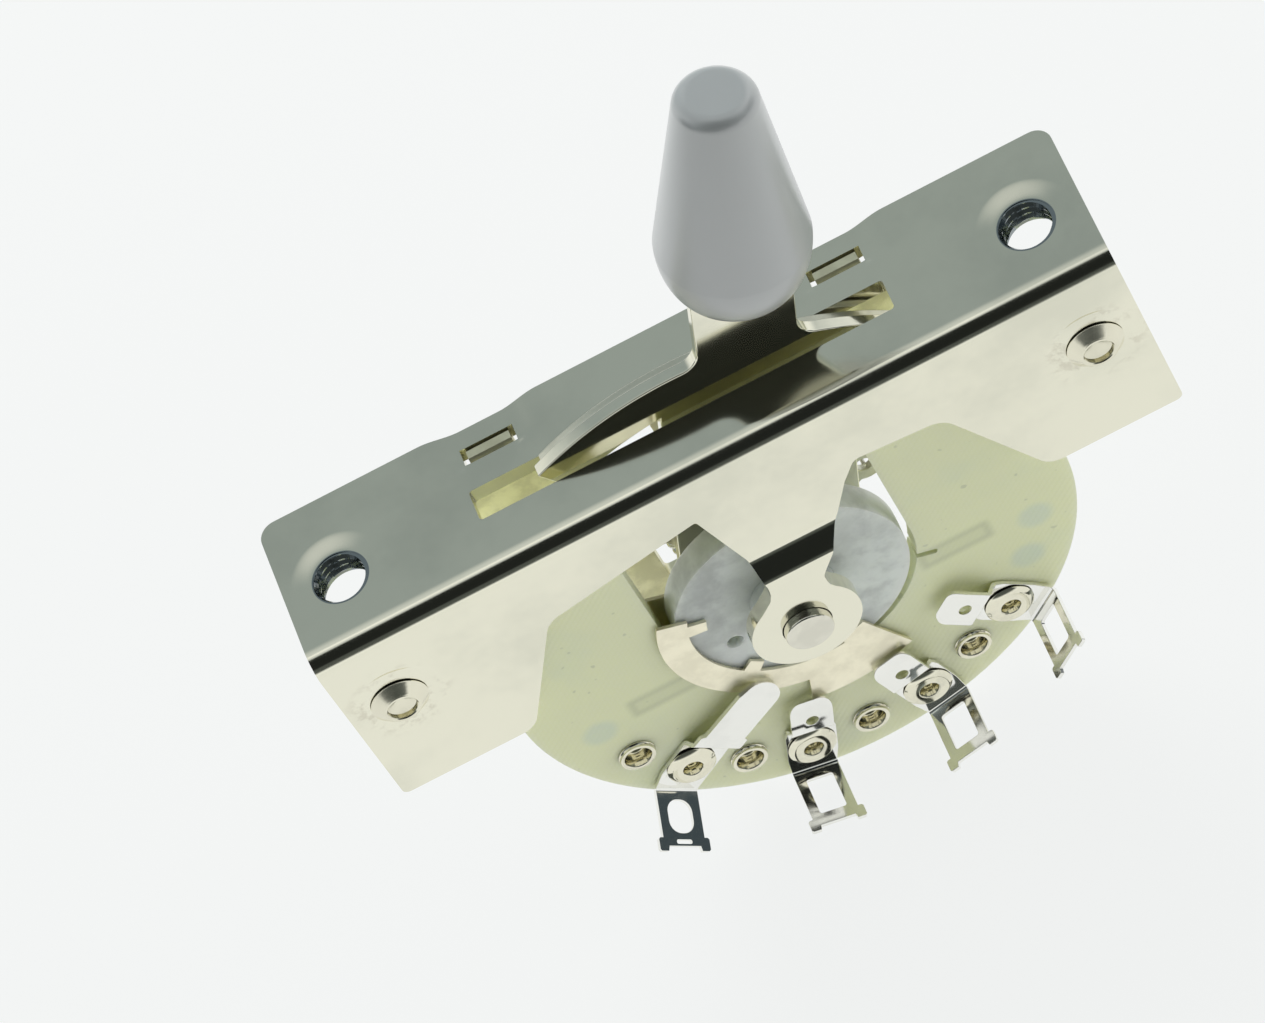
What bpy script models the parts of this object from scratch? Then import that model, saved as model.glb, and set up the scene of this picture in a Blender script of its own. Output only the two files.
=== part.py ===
"""Open-frame lever selector switch for a guitar: five positions, one wafer.

Metres, +Z up. The origin is on the top face of the flange, midway along it, on the
strip in front of the slot. X runs along the flange and +Y is the back.
"""

import math

import bmesh
import bpy
from mathutils import Matrix, Vector

MM = 0.001

# Frame: one steel sheet folded into a flange and a front plate
SHEET = 1.0
FLANGE_LENGTH = 47.85
FLANGE_BACK = 7.63
FRONT_FACE = -2.61
BEND_INSIDE = 0.4
WING_DEPTH = 13.8
WING_FOOT = 15.8
WING_FOOT_ROUND = 1.3
WING_SHOULDER = 11.9
WING_SHOULDER_DROP = 5.7
WING_SHOULDER_ROUND = 1.5
WING_ROOT = 9.3
WING_ROOT_DROP = 5.45
FLANGE_CORNER = 1.0
HOLE_SPACING = 41.28
HOLE_Y = 2.3
HOLE_RADIUS = 1.6
COLLAR_WALL = 0.7
COLLAR_DEPTH = 1.1
SLOT_HALF_LENGTH = 12.45
SLOT_FRONT = 1.23
SLOT_BACK = 3.3
JOGGLE = 1.22
JOGGLE_TOP = -8.9
JOGGLE_BOTTOM = -10.4
EYE_RADIUS = 3.2
DENT_DEPTH = 0.45
DENT_HALF_WIDTH = 3.6
DENT_FRONT = 4.4
DENT_RAMP = 1.2
STAKE_DEPTH = 0.15
STAKE_HALF_WIDTH = 1.9
STAKE_FRONT = 3.4
STAKE_RAMP = 0.9
TAB_SIDE_GAP = 0.3
TAB_FACE_GAP = 0.08

# Pivot and swing
PIVOT_DROP = 15.14
LEVER_TILT = 15.0
STEP_ANGLE = 15.0
POSITIONS = 5
SHAFT_RADIUS = 1.4
SHAFT_PROUD = 0.6
SHAFT_TAIL_RADIUS = 2.05
SPACER_WALL = 0.59
SHAFT_TAIL_THICK = 0.5
SHAFT_CLEARANCE = 0.12

# Fits
SEAT_GAP = 0.06
RUN_GAP = 0.15
REST_GAP = 0.3

# Wafer
WAFER_THICK = 1.6
WAFER_RADIUS = 16.73
WAFER_HOLE = 7.3
WAFER_WINDOW_TOP = -4.6
WAFER_EAR_BOTTOM = -10.4
WAFER_EAR_HALF = 23.3
WAFER_SLIT_ANGLE = -19.5
WAFER_SLIT_LENGTH = 1.2
WAFER_SLIT_WIDTH = 0.36

# Rotor and its contact rings
ROTOR_RADIUS = 6.85
ROTOR_PROUD = 0.1
HUB_RADIUS = 2.5
DRIVE_SQUARE = 4.2
DRIVE_CLEARANCE = 0.1
RING_THICK = 0.22
RING_INNER = 6.2
RING_OUTER = 8.0
RING_LOBE = 9.9
RING_START = -186.5
RING_END = -49.5
LOBE_START = -88.0
RING_TABS = ((-66.0, -49.5, 5.7), (-122.8, -113.2, 5.4), (-183.0, -174.0, 5.1))
ROTOR_PIN_HOLE = 0.5
ROTOR_PIN_RADIUS = 4.5
ROTOR_PIN_ANGLE = -142.6

# Contacts, eight round the wafer, every other one on the back
CONTACT_CIRCLE = 14.16
CONTACT_FIRST_ANGLE = -150.0
CONTACT_STEP = 15.0
CONTACT_COUNT = 8
LEAF_THICK = 0.25
LEAF_WIDTH = 3.0
LEAF_INNER_WIDTH = 2.5
LEAF_INNER_END = 9.5
LEAF_FOLD = 16.5
LEAF_LIFT = 0.7
LEAF_BEND_START = 2.3
LEAF_BEND_LENGTH = 0.7
LEAF_SHOULDER = 2.0
COMMON_SHOULDER = 3.4
LEAF_FOLD_RADIUS = 0.35
FINGER_DROP = 0.28
FINGER_TIP = 0.6
FINGER_HOLE = 0.38
FINGER_HOLE_REACH = 2.75
FINGER_ROUND = 0.7
COMMON_END_RADIUS = 6.9
COMMON_END_ANGLE = -124.0
LUG_LENGTH = 4.0
COMMON_LUG_LENGTH = 3.5
COMMON_LUG_LEAN = 22.0
LUG_WIDTH = 2.7
LUG_EAR_WIDTH = 3.3
LUG_EAR_LENGTH = 0.8
LUG_WINDOW_WIDTH = 1.6
LUG_WINDOW_LENGTH = 2.5
LUG_WINDOW_START = 0.45
COMMON_WINDOW_LENGTH = 2.0
RIVET_RADIUS = 0.92
RIVET_HEAD = 1.45
RIVET_HEAD_THICK = 0.28
RIVET_BORE = 0.66
EYELET_HEAD = 1.14

# Lever and the yoke behind it
LEVER_THICK = 0.8
LEVER_FRONT = 1.75
BLADE_HALF_WIDTH = 2.85
BLADE_NECK_HALF_WIDTH = 2.45
BLADE_NECK = 24.6
BLADE_TOP = 31.9
SHOULDER_RADIUS = 17.8
SHOULDER_ANGLE = 44.0
SHOULDER_FILLET = 1.2
SHOULDER_DEPTH = 2.6
FORK_HALF_WIDTH = 2.0
FORK_END = 14.0
WAIST_HALF_WIDTH = 5.3
YOKE_THICK = 0.5
YOKE_RADIUS = 17.5
YOKE_ANGLE = 43.0
YOKE_DEPTH = 3.0
YOKE_EAR = (5.9, 3.6)
YOKE_EAR_RADIUS = 1.3

# Detent
ROLLER_RADIUS = 1.2
ROLLER_NECK = 0.6
INDEX_RADIUS = 10.6
NOTCH_RADIUS = 1.35
NOTCH_DEPTH = 0.6
INDEX_HALF_ANGLE = 36.0
SPRING_RADIUS = 0.6
SPRING_WIRE = 0.12
SPRING_TURNS = 13
SPRING_HOOK = 0.85

# Rear plate, staked in the flange and held by the pivot; wing rivets that hold the wafer
REAR_FRONT = 5.35
REAR_TOP = -1.85
REAR_BAR_BOTTOM = -9.6
REAR_HALF_LENGTH = 13.3
REAR_LEFT_LEG = 9.4
REAR_RIGHT_LEG = 5.5
REAR_LEFT_WINDOW = 6.1
REAR_RIGHT_WINDOW = 4.1
REAR_STRAP_HALF = 2.5
REAR_WINDOW_TOP = -4.4
REAR_WINDOW_BOTTOM = -18.0
TAB_CENTRE = 10.5
TAB_WIDTH = 2.6
TAB_TOP = -0.35
WING_RIVET_X = 21.0
WING_RIVET_DROP = 5.84
WING_RIVET_RADIUS = 1.05
WING_RIVET_HEAD = 1.65
WING_RIVET_PROUD = 0.6
WING_RIVET_TAIL = 0.5
WING_RIVET_BORE = 0.85
WING_RIVET_BORE_DEPTH = 0.35

# Tip
TIP_BOTTOM = 22.8
TIP_LENGTH = 15.2
TIP_RADIUS = 4.4
TIP_WIDEST = 3.9
TIP_END_RADIUS = 2.5
TIP_END_ROUND = 0.9
SOCKET_CLEARANCE = 0.12

# Faces worked out from the sizes above
FRONT_INNER = FRONT_FACE + SHEET
WAFER_FRONT = FRONT_INNER + REST_GAP
WAFER_BACK = WAFER_FRONT + WAFER_THICK
WAFER_TOP = -SHEET - COLLAR_DEPTH - RUN_GAP
ROTOR_FRONT = WAFER_FRONT - ROTOR_PROUD
ROTOR_BACK = WAFER_BACK + ROTOR_PROUD
RING_FRONT_BACK = ROTOR_FRONT - SEAT_GAP
RING_REAR_FRONT = ROTOR_BACK + SEAT_GAP
LEVER_BACK = LEVER_FRONT + LEVER_THICK
YOKE_FRONT = LEVER_BACK + 2 * SEAT_GAP
YOKE_BACK = YOKE_FRONT + YOKE_THICK
EYE_BACK = FRONT_INNER - JOGGLE
REAR_BACK = REAR_FRONT + SHEET
SPRING_Y = (YOKE_BACK + REAR_FRONT) / 2
ROLLER_DISTANCE = INDEX_RADIUS + ROLLER_RADIUS + RUN_GAP
PIVOT_Z = -PIVOT_DROP
DRIVE_END = YOKE_BACK + REST_GAP

ROUND = 24
SMALL_ROUND = 12
TIP_ROUND = 28
ROTOR_ROUND = 48
SPRING_STEPS = 8
SPRING_SIDES = 4


def clear_scene():
    for obj in list(bpy.data.objects):
        bpy.data.objects.remove(obj, do_unlink=True)


def make_material(name, colour, roughness, metallic):
    material = bpy.data.materials.new(name)
    material.use_nodes = True
    shader = material.node_tree.nodes["Principled BSDF"]
    shader.inputs["Base Color"].default_value = (*colour, 1.0)
    shader.inputs["Roughness"].default_value = roughness
    shader.inputs["Metallic"].default_value = metallic
    return material


def arc(centre, radius, start, end, count):
    """Points of an arc from start to end degrees, both ends included."""
    points = []
    for i in range(count + 1):
        angle = math.radians(start + (end - start) * i / count)
        points.append((centre[0] + radius * math.cos(angle), centre[1] + radius * math.sin(angle)))
    return points


def fillet(corner, before, after, radius, count=5):
    """Arc that rounds a corner between the lines to before and after."""
    corner = Vector(corner)
    to_before = (Vector(before) - corner).normalized()
    to_after = (Vector(after) - corner).normalized()
    half = to_before.angle(to_after) / 2
    centre = corner + (to_before + to_after).normalized() * (radius / math.sin(half))
    first = corner + to_before * (radius / math.tan(half))
    last = corner + to_after * (radius / math.tan(half))
    start = math.atan2(first.y - centre.y, first.x - centre.x)
    sweep = math.atan2(last.y - centre.y, last.x - centre.x) - start
    sweep = (sweep + math.pi) % (2 * math.pi) - math.pi
    points = []
    for i in range(count + 1):
        angle = start + sweep * i / count
        points.append((centre.x + radius * math.cos(angle), centre.y + radius * math.sin(angle)))
    return points


def polar(radius, angle):
    """Point at this distance from the pivot, in the plane of the wafer."""
    return (radius * math.cos(math.radians(angle)), radius * math.sin(math.radians(angle)))


def face_outwards(mesh_data):
    bmesh.ops.recalc_face_normals(mesh_data, faces=mesh_data.faces)
    if mesh_data.calc_volume(signed=True) < 0:
        bmesh.ops.reverse_faces(mesh_data, faces=mesh_data.faces)


def new_object(name, mesh_data, material=None, parent=None):
    mesh = bpy.data.meshes.new(name)
    face_outwards(mesh_data)
    mesh_data.to_mesh(mesh)
    mesh_data.free()
    obj = bpy.data.objects.new(name, mesh)
    bpy.context.collection.objects.link(obj)
    if material:
        obj.data.materials.append(material)
    obj.parent = parent
    return obj


def prism(outline, low, high):
    """Sheet with this outline in X and Z, in mm, from y=low to y=high."""
    mesh_data = bmesh.new()
    bottom = [mesh_data.verts.new((x * MM, low * MM, z * MM)) for x, z in outline]
    face = mesh_data.faces.new(bottom)
    made = bmesh.ops.extrude_face_region(mesh_data, geom=[face])
    moved = [v for v in made["geom"] if isinstance(v, bmesh.types.BMVert)]
    bmesh.ops.translate(mesh_data, vec=(0, (high - low) * MM, 0), verts=moved)
    return mesh_data


def turned(profile, steps, centre=(0.0, 0.0), bored=False):
    """Solid turned about Y from (radius, y) pairs in mm. A bored one closes as a loop."""
    mesh_data = bmesh.new()
    rings = []
    for radius, y in profile:
        ring = []
        for i in range(steps):
            angle = 2 * math.pi * i / steps
            x = centre[0] + radius * math.cos(angle)
            z = centre[1] + radius * math.sin(angle)
            ring.append(mesh_data.verts.new((x * MM, y * MM, z * MM)))
        rings.append(ring)
    joined = list(zip(rings, rings[1:]))
    if bored:
        joined.append((rings[-1], rings[0]))
    else:
        mesh_data.faces.new(rings[0])
        mesh_data.faces.new(rings[-1])
    for ring, following in joined:
        for i in range(steps):
            j = (i + 1) % steps
            mesh_data.faces.new((ring[i], ring[j], following[j], following[i]))
    return mesh_data


def cutter(name, mesh_data, parent=None):
    obj = new_object(name, mesh_data, parent=parent)
    obj.hide_render = True
    obj.display_type = "WIRE"
    return obj


def combine(target, other, operation):
    """Applies one Boolean at once and removes its other object."""
    modifier = target.modifiers.new(other.name, "BOOLEAN")
    modifier.operation = operation
    modifier.object = other
    bpy.context.view_layer.update()
    graph = bpy.context.evaluated_depsgraph_get()
    mesh = bpy.data.meshes.new_from_object(target.evaluated_get(graph))
    target.modifiers.remove(modifier)
    old = target.data
    target.data = mesh
    mesh.name = target.name
    bpy.data.meshes.remove(old)
    bpy.data.objects.remove(other, do_unlink=True)


def cut_round(target, centre, radius, low, high, steps=ROUND):
    hole = turned([(radius, low), (radius, high)], steps, centre)
    combine(target, cutter("round_cutter", hole, target.parent), "DIFFERENCE")


def cut_outline(target, outline, low, high):
    combine(target, cutter("outline_cutter", prism(outline, low, high), target.parent), "DIFFERENCE")


def shade(obj, angle=35.0):
    obj.data.shade_smooth()
    obj.data.set_sharp_from_angle(angle=math.radians(angle))


def upright(mesh_data):
    """Turns a shape made along Y to stand along Z, its -Y end up."""
    bmesh.ops.transform(mesh_data, matrix=Matrix.Rotation(-math.pi / 2, 4, "X"), verts=mesh_data.verts)
    return mesh_data


def path_lengths(path):
    lengths = [0.0]
    for start, end in zip(path, path[1:]):
        lengths.append(lengths[-1] + (Vector(end) - Vector(start)).length)
    return lengths


def path_frame(path, lengths, along):
    """Point of the path at this length, and its mitred normal there."""
    last = len(path) - 2
    index = next((i for i in range(last + 1) if along <= lengths[i + 1] + 1e-6), last)
    start, end = Vector(path[index]), Vector(path[index + 1])
    step = (end - start).normalized()
    normal = Vector((-step.y, step.x))
    at_start = abs(along - lengths[index]) < 1e-4 and index > 0
    at_end = abs(along - lengths[index + 1]) < 1e-4 and index < last
    if at_start or at_end:
        other = index - 1 if at_start else index + 1
        neighbour = (Vector(path[other + 1]) - Vector(path[other])).normalized()
        mitre = (normal + Vector((-neighbour.y, neighbour.x))).normalized()
        normal = mitre / mitre.dot(normal)
    return start + step * (along - lengths[index]), normal


def fold_blank(obj, path, place):
    """Folds a flat blank, which lies in X and Z, along a path of its middle layer.

    Z on the blank is the length along the path. place turns (across, point of
    the path) into a position in mm."""
    lengths = path_lengths(path)
    mesh_data = bmesh.new()
    mesh_data.from_mesh(obj.data)
    for length in lengths[1:-1]:
        geometry = list(mesh_data.verts) + list(mesh_data.edges) + list(mesh_data.faces)
        bmesh.ops.bisect_plane(
            mesh_data, geom=geometry, dist=1e-7, plane_co=(0, 0, length * MM), plane_no=(0, 0, 1)
        )
    for vert in mesh_data.verts:
        point, normal = path_frame(path, lengths, vert.co.z / MM)
        point = point - normal * (vert.co.y / MM)
        vert.co = Vector(place(vert.co.x / MM, point)) * MM
    face_outwards(mesh_data)
    mesh_data.to_mesh(obj.data)
    mesh_data.free()


def flange_path():
    """Middle layer of the frame in (Y, Z): flange, bend, front plate."""
    radius = BEND_INSIDE + SHEET / 2
    centre = (FRONT_FACE + SHEET + BEND_INSIDE, -SHEET - BEND_INSIDE)
    bend = arc(centre, radius, 90, 180, 6)
    return [(FLANGE_BACK, -SHEET / 2)] + bend + [(FRONT_FACE + SHEET / 2, PIVOT_Z - EYE_RADIUS - 1)]


def wing_curve(side):
    """Inner edge of a wing, from its bottom to the edge over the wafer."""
    bottom = (side * WING_FOOT, -WING_DEPTH)
    top = (side * WING_SHOULDER, -WING_SHOULDER_DROP)
    beside = (side * WING_ROOT, -WING_ROOT_DROP)
    outer = (side * WING_RIVET_X, -WING_DEPTH)
    return fillet(bottom, outer, top, WING_FOOT_ROUND) + fillet(top, bottom, beside, WING_SHOULDER_ROUND)


def tongue_outline():
    """Left edge, eye and right edge of the tongue, leaning as the photograph shows."""
    eye = (0.0, PIVOT_Z)
    left = [(-2.3, -3.79), (-1.05, -8.9), (-0.76, -10.4), (-0.85, -11.2)]
    right = [(2.2, -12.3), (2.21, -11.8), (2.54, -11.25), (3.57, -9.87), (4.48, -8.87), (5.69, -6.63)]
    return left + arc(eye, EYE_RADIUS, 123, 402, 26) + right + [(6.7, -5.25)]


def frame_outline(length_at):
    """Outline of the flat blank, as (X, length) pairs. length_at turns Z into a length."""
    half = FLANGE_LENGTH / 2
    corner = FLANGE_CORNER
    back = arc((-half + corner, corner), corner, 270, 180, 5)
    front = [(-half, -WING_DEPTH), *wing_curve(-1), *tongue_outline()]
    front += [*reversed(wing_curve(1)), (half, -WING_DEPTH)]
    points = back + [(x, length_at(z)) for x, z in front]
    return points + arc((half - corner, corner), corner, 0, -90, 5)


def ease(value):
    value = min(max(value, 0.0), 1.0)
    return value * value * (3 - 2 * value)


def dent_at(x, y):
    """How far the flange is pressed down over each staked tab."""
    aside = abs(abs(x) - TAB_CENTRE)
    broad = DENT_DEPTH * ease(1.5 * (1 - aside / DENT_HALF_WIDTH)) * ease((y - DENT_FRONT) / DENT_RAMP)
    narrow = STAKE_DEPTH * ease(3 * (1 - aside / STAKE_HALF_WIDTH)) * ease((y - STAKE_FRONT) / STAKE_RAMP)
    return broad + narrow


def press_frame(obj):
    """Presses the two dents and the tongue's joggle into the folded sheet."""
    mesh_data = bmesh.new()
    mesh_data.from_mesh(obj.data)
    cuts = []
    for side in (-1, 1):
        for i in range(-3, 4):
            cuts.append(((side * TAB_CENTRE + i * DENT_HALF_WIDTH / 3, 0, 0), (1, 0, 0)))
        for i in (-3, -2, 2, 3):
            cuts.append(((side * TAB_CENTRE + i * STAKE_HALF_WIDTH / 3, 0, 0), (1, 0, 0)))
    for front, ramp in ((DENT_FRONT, DENT_RAMP), (STAKE_FRONT, STAKE_RAMP)):
        for i in range(4):
            cuts.append(((0, front + ramp * i / 3, 0), (0, 1, 0)))
    for i in range(7):
        cuts.append(((0, 0, JOGGLE_TOP + (JOGGLE_BOTTOM - JOGGLE_TOP) * i / 6), (0, 0, 1)))
    for place, normal in cuts:
        geometry = list(mesh_data.verts) + list(mesh_data.edges) + list(mesh_data.faces)
        bmesh.ops.bisect_plane(
            mesh_data, geom=geometry, dist=1e-7, plane_co=Vector(place) * MM, plane_no=normal
        )
    for vert in mesh_data.verts:
        x, y, z = vert.co / MM
        if z > -SHEET - 0.01:
            vert.co.z -= dent_at(x, y) * MM
        elif abs(x) < TAB_CENTRE:
            vert.co.y -= JOGGLE * ease((JOGGLE_TOP - z) / (JOGGLE_TOP - JOGGLE_BOTTOM)) * MM
    bmesh.ops.triangulate(mesh_data, faces=[f for f in mesh_data.faces if len(f.verts) > 4])
    mesh_data.to_mesh(obj.data)
    mesh_data.free()


def slot_outline():
    """The lever's slot in (X, Y)."""
    width, height = 2 * SLOT_HALF_LENGTH, SLOT_BACK - SLOT_FRONT
    return box_outline(0, (SLOT_FRONT + SLOT_BACK) / 2, width, height)


def make_frame(metal):
    path = flange_path()
    lengths = path_lengths(path)
    straight = path[-2][1]

    def length_at(z):
        return lengths[-2] + straight - z

    blank = prism(frame_outline(length_at), -SHEET / 2, SHEET / 2)
    frame = new_object("frame", blank, metal)
    fold_blank(frame, path, lambda across, point: (across, point.x, point.y))
    press_frame(frame)
    for side in (-1, 1):
        centre = (side * HOLE_SPACING / 2, HOLE_Y)
        collar = turned(
            [(HOLE_RADIUS + COLLAR_WALL, SHEET / 2), (HOLE_RADIUS + COLLAR_WALL, SHEET + COLLAR_DEPTH)],
            ROUND,
            centre,
        )
        combine(frame, cutter("collar", upright(collar)), "UNION")
        hole = turned([(HOLE_RADIUS, -1), (HOLE_RADIUS, SHEET + COLLAR_DEPTH + 1)], ROUND, centre)
        combine(frame, cutter("screw_hole", upright(hole)), "DIFFERENCE")
        width, height = TAB_WIDTH + 2 * TAB_SIDE_GAP, SHEET + 2 * TAB_FACE_GAP
        tab_slot = box_outline(side * TAB_CENTRE, (REAR_FRONT + REAR_BACK) / 2, width, height)
        combine(frame, cutter("tab_slot", upright(prism(tab_slot, -1, SHEET + 1.5))), "DIFFERENCE")
        rivet_hole = (side * WING_RIVET_X, -WING_RIVET_DROP)
        cut_round(frame, rivet_hole, WING_RIVET_RADIUS + SEAT_GAP, FRONT_FACE - 1, FRONT_INNER + 0.5)
    combine(frame, cutter("slot", upright(prism(slot_outline(), -1, SHEET + 1))), "DIFFERENCE")
    cut_round(frame, (0, PIVOT_Z), SHAFT_RADIUS + SEAT_GAP, FRONT_FACE - JOGGLE - 1, FRONT_INNER)
    shade(frame, 25)
    return frame


def box_outline(x, z, width, height):
    return [
        (x - width / 2, z - height / 2),
        (x + width / 2, z - height / 2),
        (x + width / 2, z + height / 2),
        (x - width / 2, z + height / 2),
    ]


def make_rear_plate(metal):
    left, right = -REAR_LEFT_LEG, REAR_RIGHT_LEG
    tab_half = TAB_WIDTH / 2
    foot_angle = 90 - INDEX_HALF_ANGLE
    outline = [(-REAR_HALF_LENGTH, REAR_TOP)]
    outline += [(-REAR_HALF_LENGTH, REAR_BAR_BOTTOM)]
    outline += fillet((left, REAR_BAR_BOTTOM), (-REAR_HALF_LENGTH, REAR_BAR_BOTTOM), (left, PIVOT_Z), 1.5)
    outline += [(left, PIVOT_Z - 3.0)]
    outline += arc((0, PIVOT_Z), INDEX_RADIUS, 180 + foot_angle, 360 - foot_angle, 30)
    outline += [(right, PIVOT_Z - 6.5)]
    outline += fillet((right, REAR_BAR_BOTTOM), (right, PIVOT_Z), (REAR_HALF_LENGTH, REAR_BAR_BOTTOM), 1.5)
    outline += [(REAR_HALF_LENGTH, REAR_BAR_BOTTOM), (REAR_HALF_LENGTH, REAR_TOP)]
    for centre in (TAB_CENTRE, -TAB_CENTRE):
        outline += [(centre + tab_half, REAR_TOP), (centre + tab_half, TAB_TOP)]
        outline += [(centre - tab_half, TAB_TOP), (centre - tab_half, REAR_TOP)]
    plate = new_object("rear_plate", prism(outline, REAR_FRONT, REAR_BACK), metal)
    for outer in (-REAR_LEFT_WINDOW, REAR_RIGHT_WINDOW):
        inner = math.copysign(REAR_STRAP_HALF, outer)
        width, height = abs(outer - inner), REAR_WINDOW_TOP - REAR_WINDOW_BOTTOM
        window = box_outline((outer + inner) / 2, REAR_WINDOW_BOTTOM + height / 2, width, height)
        cut_outline(plate, window, REAR_FRONT - 1, REAR_BACK + 1)
    for i in range(POSITIONS):
        angle = -90 + STEP_ANGLE * (i - (POSITIONS - 1) / 2)
        x, z = polar(INDEX_RADIUS - NOTCH_DEPTH + NOTCH_RADIUS, angle)
        cut_round(plate, (x, PIVOT_Z + z), NOTCH_RADIUS, REAR_FRONT - 1, REAR_BACK + 1, 20)
    cut_round(plate, (0, PIVOT_Z), SHAFT_RADIUS + SEAT_GAP, REAR_FRONT - 1, REAR_BACK + 1)
    shade(plate)


def wafer_outline():
    """Round plate with an ear behind each wing."""
    half_angle = math.degrees(math.asin((WAFER_EAR_BOTTOM - PIVOT_Z) / WAFER_RADIUS))
    outline = [(-WAFER_EAR_HALF, WAFER_TOP), (-WAFER_EAR_HALF, WAFER_EAR_BOTTOM)]
    outline += arc((0, PIVOT_Z), WAFER_RADIUS, 180 - half_angle, 360 + half_angle, 56)
    outline += [(WAFER_EAR_HALF, WAFER_EAR_BOTTOM), (WAFER_EAR_HALF, WAFER_TOP)]
    return outline


def make_wafer(fibreglass):
    wafer = new_object("wafer", prism(wafer_outline(), WAFER_FRONT, WAFER_BACK), fibreglass)
    low, high = WAFER_FRONT - 1, WAFER_BACK + 1
    window = arc((0, PIVOT_Z), WAFER_HOLE, 180, 360, 32)
    window += [(WAFER_HOLE, WAFER_WINDOW_TOP), (-WAFER_HOLE, WAFER_WINDOW_TOP)]
    cut_outline(wafer, window, low, high)
    start, end = WAFER_HOLE - 0.5, WAFER_HOLE + WAFER_SLIT_LENGTH
    angle = math.radians(WAFER_SLIT_ANGLE)
    slit = []
    for radius, side in ((start, -1), (end, -1), (end, 1), (start, 1)):
        offset = side * WAFER_SLIT_WIDTH / 2
        x = radius * math.cos(angle) - offset * math.sin(angle)
        z = radius * math.sin(angle) + offset * math.cos(angle)
        slit.append((x, PIVOT_Z + z))
    cut_outline(wafer, slit, low, high)
    for i in range(CONTACT_COUNT):
        x, z = polar(CONTACT_CIRCLE, CONTACT_FIRST_ANGLE + CONTACT_STEP * i)
        cut_round(wafer, (x, PIVOT_Z + z), RIVET_RADIUS + SEAT_GAP, low, high, SMALL_ROUND)
    for side in (-1, 1):
        hole = (side * WING_RIVET_X, -WING_RIVET_DROP)
        cut_round(wafer, hole, WING_RIVET_RADIUS + SEAT_GAP, low, high, SMALL_ROUND)
    shade(wafer)


def make_rotor(plastic, swing):
    profile = [(HUB_RADIUS, EYE_BACK + RUN_GAP), (HUB_RADIUS, ROTOR_FRONT)]
    profile += [(ROTOR_RADIUS, ROTOR_FRONT), (ROTOR_RADIUS, ROTOR_BACK)]
    rotor = new_object("rotor", turned(profile, ROTOR_ROUND), plastic, swing)
    drive = prism(box_outline(0, 0, DRIVE_SQUARE, DRIVE_SQUARE), ROTOR_BACK - 0.5, DRIVE_END)
    combine(rotor, cutter("drive", drive, swing), "UNION")
    low, high = EYE_BACK - 1, DRIVE_END + 1
    cut_round(rotor, (0, 0), SHAFT_RADIUS + SHAFT_CLEARANCE, low, high)
    cut_round(rotor, polar(ROTOR_PIN_RADIUS, ROTOR_PIN_ANGLE), ROTOR_PIN_HOLE, low, high, SMALL_ROUND)
    shade(rotor)


def ring_outline():
    """Ring with a wide lobe that meets the chosen contacts and small tabs inside."""
    outline = arc((0, 0), RING_OUTER, RING_START, LOBE_START, 18)
    outline += arc((0, 0), RING_LOBE, LOBE_START, RING_END, 8)
    reached = RING_END
    for start, end, radius in RING_TABS:
        if end < reached:
            outline += arc((0, 0), RING_INNER, reached, end, max(1, round((reached - end) / 7)))
        outline += arc((0, 0), radius, end, start, 3)
        reached = start
    return outline + arc((0, 0), RING_INNER, reached, RING_START, 1)


def make_ring(name, metal, swing, low, high):
    ring = new_object(name, prism(ring_outline(), low, high), metal, swing)
    shade(ring)


def finger_end(common):
    """Half of a finger's rounded end, as (across, length) pairs."""
    half = LEAF_INNER_WIDTH / 2
    radius = 0.96 * half if common else FINGER_ROUND
    return [(half - radius + x, radius - y) for x, y in arc((0, 0), radius, 90, 0, 4)]


def leaf_outline(rivet, fold, total, common):
    """Blank of a contact, as (across, length) pairs, from its finger to its lug's end."""
    half, inner = LEAF_WIDTH / 2, LEAF_INNER_WIDTH / 2
    lug, ear = LUG_WIDTH / 2, LUG_EAR_WIDTH / 2
    shoulder = COMMON_SHOULDER if common else LEAF_SHOULDER
    slope = 0.15 if common else 0.8
    ear_start = total - LUG_EAR_LENGTH
    right = finger_end(common) + [(inner, rivet - shoulder), (half, rivet - shoulder + slope)]
    right += [(half, rivet + 0.9), (lug, fold - 0.4), (lug, ear_start), (ear, ear_start)]
    right += [(ear, total), (ear - 0.55, total), (ear - 0.55, total - 0.3)]
    return [(-x, length) for x, length in right] + [(x, length) for x, length in reversed(right)]


def leaf_path(inner_end, flat, outwards, lug_length, lean):
    """Middle layer of a contact in (radius, Y), from its finger to its lug's end."""
    lifted = flat + outwards * LEAF_LIFT
    bend_start = CONTACT_CIRCLE - LEAF_BEND_START
    path = [(inner_end, lifted - outwards * FINGER_DROP), (inner_end + FINGER_TIP, lifted)]
    path += [(bend_start, lifted), (bend_start + LEAF_BEND_LENGTH, flat)]
    centre = (LEAF_FOLD - LEAF_FOLD_RADIUS, flat + outwards * LEAF_FOLD_RADIUS)
    path += arc(centre, LEAF_FOLD_RADIUS, -90 * outwards, -lean * outwards, 3)
    radius, y = path[-1]
    lean = math.radians(lean)
    return path + [(radius + lug_length * math.sin(lean), y + outwards * lug_length * math.cos(lean))]


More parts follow.
